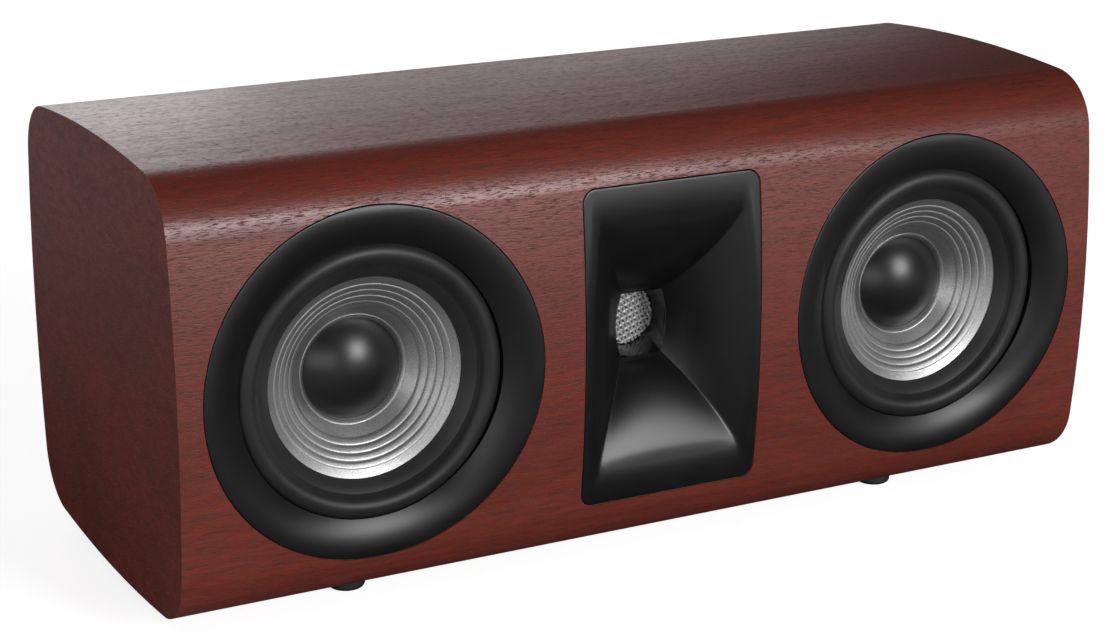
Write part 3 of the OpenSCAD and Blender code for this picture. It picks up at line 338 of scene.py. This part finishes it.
black_screw = finish("black_screw", (0.02, 0.02, 0.02), (0.05, 0.05, 0.05), 0.35,
                     grain=4000.0, metallic=0.6, specular=0.4)
for side in ("left", "right"):
    coat(plated_steel, "top_plate_" + side, "yoke_" + side)
    coat(ferrite, "magnet_" + side)
    coat(powder_coat, "basket_" + side)
    coat(copper_wire, "voice_coil_" + side)
    coat(cloth, "spider_" + side)
coat(black_screw, "woofer_screws", "horn_screws", "cup_screws", "port_screws", "hf_screws")


# Woofer cones.
# Pressed cones with a silver metallised coating, four beads pressed into each, and a small
# raised bead round the dust cap. They are glued to the surround and to the coil's former.
wrap_low, wrap_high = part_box("wrap_veneer")
FRONT_Y = wrap_low.y
MID_Z = (wrap_low.z + wrap_high.z) / 2
CONE_EDGE_RADIUS = 0.0453
CONE_EDGE_DEPTH = 0.0152
CAP_RADIUS = 0.0230
CAP_DEPTH = 0.0307
EDGE_SLOPE = 0.44
NECK_RADIUS = 0.0165
NECK_SLOPE = 0.55
CONE_THICK = 0.0009
CONE_OUTER_RADIUS = 0.0468
CONE_STEP = 0.00018
BEADS_FROM, BEADS_TO, BEAD_COUNT, BEAD_HEIGHT = 0.0417, 0.0296, 4, 0.00042
BEAD_FLATNESS = 3.4
RIM_BEAD_OUT, RIM_BEAD_HALF, RIM_BEAD_HEIGHT = 0.0011, 0.0009, 0.0005


def piece(name, points, faces, material, body, sharp=32.0):
    """A finished solid: welded, shaded smooth with its true edges sharp, on its CAD body."""
    mesh = bpy.data.meshes.new(name)
    mesh.from_pydata(points, [], faces)
    shape = bmesh.new()
    shape.from_mesh(mesh)
    bmesh.ops.remove_doubles(shape, verts=shape.verts, dist=1e-7)
    bmesh.ops.dissolve_degenerate(shape, edges=shape.edges, dist=1e-7)
    bmesh.ops.recalc_face_normals(shape, faces=shape.faces)
    for edge in shape.edges:
        if len(edge.link_faces) == 2:
            edge.smooth = edge.calc_face_angle(0.0) < math.radians(sharp)
    for face in shape.faces:
        face.smooth = True
    shape.to_mesh(mesh)
    shape.free()
    mesh.materials.append(material)
    made = bpy.data.objects.new(name, mesh)
    scene.collection.objects.link(made)
    if body:
        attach(made, body)
    return made


def grid_faces(rows, columns):
    """Quads between rows of points that close on themselves both ways."""
    faces = []
    for i in range(rows):
        for j in range(columns):
            k, m = (i + 1) % rows, (j + 1) % columns
            faces.append((i * columns + j, k * columns + j, k * columns + m, i * columns + m))
    return faces


def turned(outline, middle, steps=192):
    """Points and faces of a closed outline of (radius, depth) turned about a driver's axis."""
    points = []
    for i in range(steps):
        turn = math.tau * i / steps
        for radius, depth in outline:
            points.append((middle + radius * math.cos(turn), FRONT_Y + depth,
                           MID_Z + radius * math.sin(turn)))
    return points, grid_faces(steps, len(outline))


def cone_depth(radius):
    """The cone grows steeper from its outer edge to the cap, and eases off behind the cap."""
    if radius < CAP_RADIUS:
        return CAP_DEPTH + (CAP_RADIUS - radius) * NECK_SLOPE
    run = CONE_EDGE_RADIUS - CAP_RADIUS
    share = (CONE_EDGE_RADIUS - radius) / run
    bend = (CAP_DEPTH - CONE_EDGE_DEPTH) / run - EDGE_SLOPE
    return CONE_EDGE_DEPTH + run * share * (EDGE_SLOPE + bend * share)


def bead_rise(radius):
    """Round beads with a narrow groove between them, and one low bead round the cap."""
    if BEADS_TO < radius < BEADS_FROM:
        along = (radius - BEADS_TO) / (BEADS_FROM - BEADS_TO) * BEAD_COUNT
        return BEAD_HEIGHT * (1 - abs(2 * (along % 1) - 1) ** BEAD_FLATNESS)
    rim = abs(radius - CAP_RADIUS - RIM_BEAD_OUT) / RIM_BEAD_HALF
    return RIM_BEAD_HEIGHT * math.sqrt(1 - rim * rim) if rim < 1 else 0.0


cone_face = []
radius = CONE_OUTER_RADIUS
while radius > NECK_RADIUS:
    cone_face.append((radius, cone_depth(radius) - bead_rise(radius)))
    radius -= CONE_STEP
cone_face.append((NECK_RADIUS, cone_depth(NECK_RADIUS)))
cone_back = [(r, cone_depth(r) + CONE_THICK)
             for r in (NECK_RADIUS, CAP_RADIUS, 0.026, 0.030, 0.038, CONE_OUTER_RADIUS)]
cone_outline = cone_face + cone_back

silver_coat = bpy.data.materials.new("silver_cone")
silver_coat.use_nodes = True
tree = silver_coat.node_tree
shader = tree.nodes["Principled BSDF"]
place = put(tree, "ShaderNodeTexCoord").outputs["Object"]
flake = put(tree, "ShaderNodeTexNoise", {"Vector": place, "Scale": 2600.0, "Detail": 2.0,
            "Roughness": 0.7}).outputs[0]
flake_share = put(tree, "ShaderNodeMapRange", {"Value": flake, "From Min": 0.30,
                  "From Max": 0.72}).outputs[0]
cloudy = put(tree, "ShaderNodeTexNoise", {"Vector": place, "Scale": 90.0}).outputs[0]
silver = put(tree, "ShaderNodeMix", {0: flake_share, 6: (0.27, 0.27, 0.275, 1),
             7: (0.60, 0.60, 0.605, 1)}, data_type="RGBA").outputs[2]
tree.links.new(silver, shader.inputs["Base Color"])
silver_rough = put(tree, "ShaderNodeMapRange", {"Value": flake, "From Min": 0.3,
                   "From Max": 0.7, "To Min": 0.52, "To Max": 0.36}).outputs[0]
silver_rough = figure(tree, "ADD", silver_rough,
                      figure(tree, "MULTIPLY", figure(tree, "SUBTRACT", cloudy, 0.5), 0.15))
tree.links.new(silver_rough, shader.inputs["Roughness"])
relief = put(tree, "ShaderNodeBump", {"Strength": 0.30, "Distance": 0.00012, "Height": flake})
tree.links.new(relief.outputs[0], shader.inputs["Normal"])
shader.inputs["Metallic"].default_value = 0.92

woofer_middle = {}
for side in ("left", "right"):
    low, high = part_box("cone_" + side)
    woofer_middle[side] = (low.x + high.x) / 2
    points, faces = turned(cone_outline, woofer_middle[side])
    made = piece("pressed_cone_" + side, points, faces, silver_coat, "cone_body_" + side,
                 sharp=40.0)
    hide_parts("cone_" + side)


# Dust caps.
# Thin black domes with a satin face, pressed with a small rolled edge and glued on the cone.
CAP_RISE = 0.0090
CAP_THICK = 0.0006
CAP_STEPS = 60
cap_ball = (CAP_RADIUS ** 2 + CAP_RISE ** 2) / (2 * CAP_RISE)
cap_face = []
for i in range(CAP_STEPS + 1):
    radius = CAP_RADIUS * (1 - i / CAP_STEPS)
    rise = math.sqrt(cap_ball ** 2 - radius ** 2) - (cap_ball - CAP_RISE)
    cap_face.append((radius, CAP_DEPTH - rise))
cap_skin = [(r, d + CAP_THICK) for r, d in reversed(cap_face)]
cap_edge = (CAP_RADIUS + 0.0003, CAP_DEPTH - 0.0001)
cap_outline = [cap_edge] + cap_face + cap_skin
cap_black = finish("cap_black", (0.009, 0.009, 0.010), (0.013, 0.013, 0.014), 0.33,
                   smudge=0.05, grain=2600.0, bump=0.06, specular=0.5)
for side in ("left", "right"):
    points, faces = turned(cap_outline, woofer_middle[side])
    made = piece("domed_cap_" + side, points, faces, cap_black, "cone_body_" + side)
    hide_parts("dust_cap_" + side)


# Rubber surrounds.
# Half-roll rubber rings. The outer lip is glued to the frame under the trim ring and the
# inner lip to the cone.
ROLL_RADIUS, ROLL_HALF, ROLL_DEPTH = 0.0566, 0.0052, 0.0112
RUBBER_THICK = 0.0008
LIP_OUTER = 0.0630
LIP_SLOPE = 0.695
ROLL_STEPS, LIP_STEPS, BACK_STEPS = 40, 24, 20


def lip_depth(radius):
    """The inner lip lies on the outer part of the cone."""
    return CONE_EDGE_DEPTH - (radius - CONE_EDGE_RADIUS) * LIP_SLOPE


surround_face = [(LIP_OUTER, ROLL_DEPTH), (ROLL_RADIUS + ROLL_HALF + 0.0003, ROLL_DEPTH)]
for i in range(ROLL_STEPS + 1):
    turn = math.pi * i / ROLL_STEPS
    radius = ROLL_RADIUS + ROLL_HALF * math.cos(turn)
    depth = ROLL_DEPTH - ROLL_HALF * math.sin(turn)
    valley = lip_depth(radius) - RUBBER_THICK - 0.0002
    if turn < math.pi / 2 or depth < valley - 0.0004:
        surround_face.append((radius, depth))
last_radius, last_depth = surround_face[-1]
for i in range(1, LIP_STEPS + 1):
    share = i / LIP_STEPS
    radius = last_radius + (CONE_EDGE_RADIUS - last_radius) * share
    lip = lip_depth(radius) - RUBBER_THICK - 0.0003 * math.sin(math.pi * min(share * 1.1, 1))
    ease = min(share / 0.14, 1.0)
    surround_face.append((radius, last_depth + (lip - last_depth) * ease))
surround_face.append((CONE_EDGE_RADIUS - 0.0002, CONE_EDGE_DEPTH - 0.0004))
surround_back = [(CONE_EDGE_RADIUS, CONE_EDGE_DEPTH - 0.0001),
                 (ROLL_RADIUS - ROLL_HALF, lip_depth(ROLL_RADIUS - ROLL_HALF) - 0.0001)]
for i in range(BACK_STEPS, -1, -1):
    turn = math.pi * i / BACK_STEPS
    surround_back.append((ROLL_RADIUS + (ROLL_HALF - RUBBER_THICK) * math.cos(turn),
                          ROLL_DEPTH - (ROLL_HALF - RUBBER_THICK) * math.sin(turn)))
surround_back += [(ROLL_RADIUS + ROLL_HALF, ROLL_DEPTH + RUBBER_THICK),
                  (LIP_OUTER, ROLL_DEPTH + RUBBER_THICK)]
surround_rubber = finish("surround_rubber", (0.014, 0.014, 0.014), (0.022, 0.022, 0.022),
                         0.46, smudge=0.08, grain=2200.0, bump=0.12, specular=0.38)
for side in ("left", "right"):
    middle = woofer_middle[side]
    points, faces = turned(surround_face + surround_back, middle)
    made = piece("half_roll_" + side, points, faces, surround_rubber, None)
    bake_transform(made)
    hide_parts("surround_" + side)


# Trim rings.
# Moulded black rings pressed into the front. Their face follows the bow of the cabinet and
# rolls over an even shoulder down to the surround.
BOW_RADIUS = 0.615
CORNER_RADIUS, CORNER_DEPTH, CORNER_HEIGHT = 0.028, 0.03221, 0.07020
BOW_END = 0.07355
RING_RADIUS, RING_OPEN, RING_SEAT = 0.0787, 0.0615, 0.0084
RING_FALL = 0.0060
SHOULDER, SHOULDER_CURVE = 0.0165, 1.9
RING_EDGE = 0.0004
RING_STEPS, SHOULDER_STEPS, EDGE_STEPS = 240, 30, 4


def bow(height):
    """How far the front face, and above it the rounded corner, lies behind the crest."""
    if abs(height) > BOW_END:
        return CORNER_DEPTH - math.sqrt(CORNER_RADIUS ** 2 - (abs(height) - CORNER_HEIGHT) ** 2)
    return BOW_RADIUS - math.sqrt(BOW_RADIUS ** 2 - height ** 2)


def ring_column(turn):
    """Outline of the ring's section at one place round it."""
    rise = math.sin(turn)
    column = [(RING_RADIUS, RING_SEAT)]
    for i in range(EDGE_STEPS + 1):
        lean = math.pi / 2 * i / EDGE_STEPS
        radius = RING_RADIUS - RING_EDGE * (1 - math.cos(lean))
        column.append((radius, bow(radius * rise) + RING_EDGE * (1 - math.sin(lean))))
    column.append((RING_OPEN + SHOULDER, bow((RING_OPEN + SHOULDER) * rise)))
    lip = bow(RING_OPEN * rise)
    fall = min(RING_FALL, RING_SEAT - 0.0002 - lip)
    for i in range(1, SHOULDER_STEPS + 1):
        share = i / SHOULDER_STEPS
        radius = RING_OPEN + SHOULDER * (1 - share)
        column.append((radius, bow(radius * rise) + fall * share ** SHOULDER_CURVE))
    column += [(RING_OPEN, (lip + fall + RING_SEAT) / 2), (RING_OPEN, RING_SEAT)]
    return column


trim_black = finish("trim_black", (0.006, 0.006, 0.006), (0.008, 0.008, 0.008), 0.36,
                    smudge=0.06, grain=3200.0, bump=0.05, specular=0.42)
for side in ("left", "right"):
    points = []
    for i in range(RING_STEPS):
        turn = math.tau * i / RING_STEPS
        column = ring_column(turn)
        points += [(woofer_middle[side] + r * math.cos(turn), FRONT_Y + d,
                    MID_Z + r * math.sin(turn)) for r, d in column]
    made = piece("bowed_ring_" + side, points, grid_faces(RING_STEPS, len(column)),
                 trim_black, "cabinet")
    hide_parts("trim_ring_" + side)


# Horn.
# One black moulding. Two curved flares cross at right angles, so a crease runs from each
# corner of the mouth to the throat, and the lips roll softly into a flange on the front.
HORN_HALF_W, HORN_HALF_H, HORN_CORNER, HORN_SEAT = 0.0455, 0.0737, 0.0064, 0.0140
FLARE_DEPTH, FLARE_END = 0.0305, 0.0308
MOUTH_DEPTH, MESH_DEPTH, HORN_BACK = 0.004, 0.0464, 0.0512
THROAT_RADIUS, THROAT_WALL, THROAT_SQUEEZE = 0.0145, 0.0055, 0.6
HORN_WALL, BACK_RADIUS, BACK_THICK = 0.003, 0.032, 0.004
FLARE_W, THROAT_W, SIDE_ARC_RADIUS = 0.086, 0.0216, 0.125
FLARE_H, THROAT_H, END_ARC_RADIUS = 0.150, 0.0310, 0.098
SIDE_LIP, END_LIP, LIP_CHANGE = 0.0022, 0.0038, 0.024
WALL_CROWN, CROWN_FROM, CROWN_RUN = 0.0032, 0.002, 0.027
WALL_SWELL, SWELL_FROM, SWELL_RUN = 0.0027, 0.006, 0.018
POLISH_REACH, POLISH_TILT = 0.019, 0.25
HORN_EDGE = 0.0005
CORNERS = ((1, 1), (-1, 1), (-1, -1), (1, -1))
CORNER_STEPS, FLANGE_STEPS, FLARE_STEPS, THROAT_STEPS = 8, 18, 42, 9


def flare_circle(wide, narrow, radius):
    """Centre of the arc that carries one wall of the horn."""
    ax, ay, bx, by = wide / 2, 0.0, narrow / 2, FLARE_DEPTH
    mx, my, vx, vy = (ax + bx) / 2, (ay + by) / 2, (bx - ax) / 2, (by - ay) / 2
    half = math.hypot(vx, vy)
    away = math.sqrt(radius ** 2 - half ** 2)
    return mx + away * vy / half, my - away * vx / half, radius


side_arc = flare_circle(FLARE_W, THROAT_W, SIDE_ARC_RADIUS)
end_arc = flare_circle(FLARE_H, THROAT_H, END_ARC_RADIUS)


def wall_half(arc, depth, thick=0.0):
    """Half the horn's width or height at a depth. With thick, to the wall's outer side."""
    return arc[0] - math.sqrt((arc[2] - thick) ** 2 - (arc[1] - depth) ** 2)


def wall_depth(arc, half):
    """The depth at which the horn is that wide or high."""
    return arc[1] - math.sqrt(max(arc[2] ** 2 - (arc[0] - half) ** 2, 0))


def soft_max(first, second, width):
    """The larger of two depths, with a smooth change from one to the other."""
    near = max(width - abs(first - second), 0) / width
    return max(first, second) + near * near * width / 4


def horn_loop(half_w, half_h, corner):
    """Points round a rounded rectangle, the same number for each size."""
    loop = []
    for k in range(4):
        sx, sz = CORNERS[k]
        for i in range(CORNER_STEPS + 1):
            turn = math.pi / 2 * (k + i / CORNER_STEPS)
            loop.append((sx * (half_w - corner) + corner * math.cos(turn),
                         sz * (half_h - corner) + corner * math.sin(turn)))
        nx, nz = CORNERS[(k + 1) % 4]
        end_turn = math.pi / 2 * (k + 1)
        far = (nx * (half_w - corner) + corner * math.cos(end_turn),
               nz * (half_h - corner) + corner * math.sin(end_turn))
        start = loop[-1]
        count = 24 if k % 2 == 0 else 36
        for i in range(1, count):
            share = i / count
            loop.append((start[0] + (far[0] - start[0]) * share,
                         start[1] + (far[1] - start[1]) * share))
    return loop


def lip_round(x, z, half_w, half_h):
    """The lips roll wider at the top and bottom than at the sides."""
    side, end = half_w - abs(x), half_h - abs(z)
    share = min(max(0.5 + (side - end) / LIP_CHANGE, 0), 1)
    share = share * share * (3 - 2 * share)
    return SIDE_LIP + (END_LIP - SIDE_LIP) * share


def throat_swell(depth, half_w, half_h, x, z):
    """The end walls crown inwards, and the side walls swell out towards the round throat."""
    crown = min(max((depth - CROWN_FROM) / CROWN_RUN, 0), 1)
    crown = WALL_CROWN * math.sin(math.pi * crown) ** 0.7
    swell = min(max((depth - SWELL_FROM) / SWELL_RUN, 0), 1)
    swell = WALL_SWELL * swell * swell * (3 - 2 * swell)
    moved_x = x * (1 + swell / half_w * (1 - min(abs(z) / half_h, 1) ** 2))
    moved_z = z * (1 - crown / half_h * (1 - min(abs(x) / half_w, 1) ** 2))
    return moved_x, moved_z


# Rows of points from the seat round the flange, down the flare and the throat, and back up
# on the outside.
edge_loop = horn_loop(HORN_HALF_W, HORN_HALF_H, HORN_CORNER)
horn_rows = [[(x, HORN_SEAT, z) for x, z in edge_loop]]
for i in range(EDGE_STEPS):
    lean = math.pi / 2 * i / EDGE_STEPS
    inset = HORN_EDGE * (1 - math.cos(lean))
    loop = horn_loop(HORN_HALF_W - inset, HORN_HALF_H - inset, HORN_CORNER - inset)
    horn_rows.append([(x, bow(z) + HORN_EDGE * (1 - math.sin(lean)), z) for x, z in loop])
mouth_w, mouth_h = wall_half(side_arc, MOUTH_DEPTH), wall_half(end_arc, MOUTH_DEPTH)
for i in range(FLANGE_STEPS + 1):
    share = 1 - i / FLANGE_STEPS
    half_w = mouth_w + (HORN_HALF_W - HORN_EDGE - mouth_w) * share
    half_h = mouth_h + (HORN_HALF_H - HORN_EDGE - mouth_h) * share
    corner = 0.0018 + (HORN_CORNER - 0.0023) * share
    row = []
    for x, z in horn_loop(half_w, half_h, corner):
        flare = -soft_max(-wall_depth(side_arc, abs(x)), -wall_depth(end_arc, abs(z)), 0.0018)
        y = soft_max(flare, bow(z), lip_round(x, z, half_w, half_h))
        row.append((x, y, z))
    horn_rows.append(row)
for i in range(1, FLARE_STEPS + 1):
    share = i / FLARE_STEPS
    depth = MOUTH_DEPTH + (FLARE_END - MOUTH_DEPTH) * share
    half_w, half_h = wall_half(side_arc, depth), wall_half(end_arc, depth)
    corner = 0.0004 + 0.0014 * (1 - share) ** 3
    row = []
    for x, z in horn_loop(half_w, half_h, corner):
        y = soft_max(depth, bow(z), lip_round(x, z, half_w, half_h))
        x, z = throat_swell(depth, half_w, half_h, x, z)
        row.append((x, y, z))
    horn_rows.append(row)
throat_way = [(x, z) for x, y, z in horn_rows[-1]]


def throat_ring(radius, depth):
    """A round row whose points keep the order of the square throat's points."""
    row = []
    for x, z in throat_way:
        reach = math.hypot(x / THROAT_SQUEEZE, z)
        row.append((radius * x / THROAT_SQUEEZE / reach, depth, radius * z / reach))
    return row


# Behind the flare the throat goes from nearly square to round.
for i in range(1, THROAT_STEPS):
    depth = FLARE_END + (MESH_DEPTH - 0.0008 - FLARE_END) * i / THROAT_STEPS
    horn_rows.append([(x + (rx - x) * i / THROAT_STEPS, depth, z + (rz - z) * i / THROAT_STEPS)
                      for (x, z), (rx, ry, rz)
                      in zip(throat_way, throat_ring(THROAT_RADIUS, 0))])
for radius, depth in ((THROAT_RADIUS, MESH_DEPTH - 0.0008),
                      (THROAT_RADIUS - 0.0005, MESH_DEPTH - 0.0004),
                      (THROAT_RADIUS - 0.0005, MESH_DEPTH),
                      (THROAT_RADIUS + 0.001, MESH_DEPTH), (THROAT_RADIUS + 0.001, HORN_BACK),
                      (BACK_RADIUS, HORN_BACK), (BACK_RADIUS, HORN_BACK - BACK_THICK),
                      (THROAT_RADIUS + THROAT_WALL, HORN_BACK - BACK_THICK),
                      (THROAT_RADIUS + THROAT_WALL, FLARE_END + 0.004)):
    horn_rows.append(throat_ring(radius, depth))
for depth in (0.0325, 0.028, 0.023, 0.018, HORN_SEAT):
    loop = horn_loop(wall_half(side_arc, depth, HORN_WALL), wall_half(end_arc, depth, HORN_WALL),
                     0.003)
    horn_rows.append([(x, depth, z) for x, z in loop])
horn_points = [(x, FRONT_Y + y, MID_Z + z) for row in horn_rows for x, y, z in row]
horn_black = finish("horn_black", (0.005, 0.005, 0.0053), (0.008, 0.008, 0.0083), 0.34,
                    smudge=0.05, grain=3200.0, bump=0.05, specular=0.5)
horn = piece("flared_horn", horn_points, grid_faces(len(horn_rows), len(horn_rows[0])),
             horn_black, "cabinet", sharp=28.0)
# The lower part of the throat is smoother and shines more.
throat_black = finish("throat_black", (0.006, 0.006, 0.006), (0.010, 0.010, 0.010), 0.16,
                      smudge=0.04, grain=3200.0, bump=0.03, specular=0.8)
horn.data.materials.append(throat_black)
for face in horn.data.polygons:
    depth = face.center.y - FRONT_Y
    reach = math.hypot(face.center.x, face.center.z - MID_Z)
    if (FLARE_END < depth < MESH_DEPTH and reach < POLISH_REACH
            and face.normal.z > POLISH_TILT):
        face.material_index = 1
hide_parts("horn")


# Throat mesh.
# A round of woven steel wire behind the throat, held in a thin rolled rim.
WIRE_RADIUS, WIRE_WAVE, WIRE_STEPS, WIRE_SIDES = 0.00080, 0.00030, 48, 8
MESH_RADIUS = 0.0152
RIM_HALF_W, RIM_HALF_H, RIM_STEPS, RIM_SIDES = 0.0005, 0.0004, 96, 10


def wire(points, faces, path, radius):
    """Adds a closed round wire along a path of points that lie nearly in the mesh's plane."""
    first = len(points)
    for i, (x, y, z) in enumerate(path):
        ax, ay, az = path[max(i - 1, 0)]
        bx, by, bz = path[min(i + 1, len(path) - 1)]
        along = Vector((bx - ax, by - ay, bz - az)).normalized()
        out = Vector((0, -1, 0))
        across = along.cross(out).normalized()
        out = across.cross(along)
        for k in range(WIRE_SIDES):
            turn = math.tau * k / WIRE_SIDES
            spot = Vector((x, y, z)) + radius * (math.cos(turn) * across + math.sin(turn) * out)
            points.append(tuple(spot))
    for i in range(len(path) - 1):
        for k in range(WIRE_SIDES):
            m = (k + 1) % WIRE_SIDES
            a = first + i * WIRE_SIDES
            faces.append((a + k, a + m, a + WIRE_SIDES + m, a + WIRE_SIDES + k))
    faces.append(tuple(first + k for k in reversed(range(WIRE_SIDES))))
    end = first + (len(path) - 1) * WIRE_SIDES
    faces.append(tuple(end + k for k in range(WIRE_SIDES)))


mesh_points, mesh_faces = [], []
mesh_y = FRONT_Y + MESH_DEPTH + 0.0004
for lean, pitch, cross_pitch, phase in ((math.radians(113), 0.0020, 0.0027, 0.0),
                                        (math.radians(20), 0.0027, 0.0020, math.pi)):
    along = (math.cos(lean), math.sin(lean))
    across = (-along[1], along[0])
    for i in range(-9, 10):
        offset = pitch * (i + 0.5)
        if abs(offset) > MESH_RADIUS - 0.0012:
            continue
        half = math.sqrt(MESH_RADIUS ** 2 - offset ** 2)
        path = []
        for k in range(WIRE_STEPS + 1):
            run = -half + 2 * half * k / WIRE_STEPS
            weave = WIRE_WAVE * math.cos(math.pi * run / cross_pitch + math.pi * i + phase)
            path.append((along[0] * run + across[0] * offset, mesh_y + weave,
                         MID_Z + along[1] * run + across[1] * offset))
        wire(mesh_points, mesh_faces, path, WIRE_RADIUS)
rim_first = len(mesh_points)
for i in range(RIM_STEPS):
    turn = math.tau * i / RIM_STEPS
    for k in range(RIM_SIDES):
        lean = math.tau * k / RIM_SIDES
        radius = MESH_RADIUS - 0.0004 + RIM_HALF_W * math.cos(lean)
        mesh_points.append((radius * math.cos(turn), mesh_y + RIM_HALF_H * math.sin(lean),
                            MID_Z + radius * math.sin(turn)))
mesh_faces += [tuple(rim_first + v for v in face) for face in grid_faces(RIM_STEPS, RIM_SIDES)]
mesh_steel = finish("mesh_steel", (0.50, 0.50, 0.50), (0.38, 0.38, 0.38), 0.45,
                    grain=5000.0, metallic=0.35, bump=0.1)
made = piece("woven_mesh", mesh_points, mesh_faces, mesh_steel, "cabinet")
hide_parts("throat_mesh")


# Tweeter.
# A metal dome on a black faceplate, with its plates, magnet and screws, behind the mesh.
dome_metal = finish("dome_metal", (0.30, 0.30, 0.32), (0.22, 0.22, 0.24), 0.3,
                    grain=3000.0, metallic=1.0, bump=0.1)
fitting_black = finish("fitting_black", (0.014, 0.014, 0.014), (0.022, 0.022, 0.022), 0.45,
                       grain=2400.0, mottle=80.0, bump=0.25, specular=0.45)
coat(dome_metal, "hf_dome")
coat(fitting_black, "hf_faceplate")
coat(plated_steel, "hf_top_plate", "hf_yoke")
coat(ferrite, "hf_magnet")


# Crossover.
# A green board on spacers inside the left end, with air coils, film capacitors and
# cement resistors.
board_green = finish("circuit_board", (0.02, 0.10, 0.045), (0.015, 0.07, 0.03), 0.35,
                     grain=900.0, mottle=250.0, bump=0.2)
film_red = finish("film_red", (0.30, 0.02, 0.015), (0.22, 0.015, 0.012), 0.3, grain=1200.0)
cement = finish("cement_white", (0.72, 0.71, 0.67), (0.60, 0.59, 0.55), 0.8,
                grain=1500.0, bump=0.5)
coat(board_green, "crossover_board")
coat(copper_wire, "crossover_coils")
coat(film_red, "crossover_capacitors")
coat(cement, "crossover_resistors")


# Terminal cup.
# A moulded black cup set in the back, with two gold-plated posts and ribbed knobs that
# screw on them.
gold = finish("gold_plate", (0.83, 0.56, 0.18), (0.70, 0.45, 0.13), 0.22, grain=5000.0,
              metallic=1.0, bump=0.05)
knob_red = finish("knob_red", (0.42, 0.012, 0.012), (0.32, 0.010, 0.010), 0.28,
                  grain=2500.0, bump=0.06)
knob_black = finish("knob_black", (0.016, 0.016, 0.016), (0.024, 0.024, 0.024), 0.28,
                    grain=2500.0, bump=0.06)
coat(fitting_black, "terminal_cup")
coat(gold, "post_studs")
coat(knob_red, "knob_red")
coat(knob_black, "knob_black")


# Bass ports.
# Two moulded black tubes with a flared flange, screwed to the back.
coat(fitting_black, "port_left", "port_right")
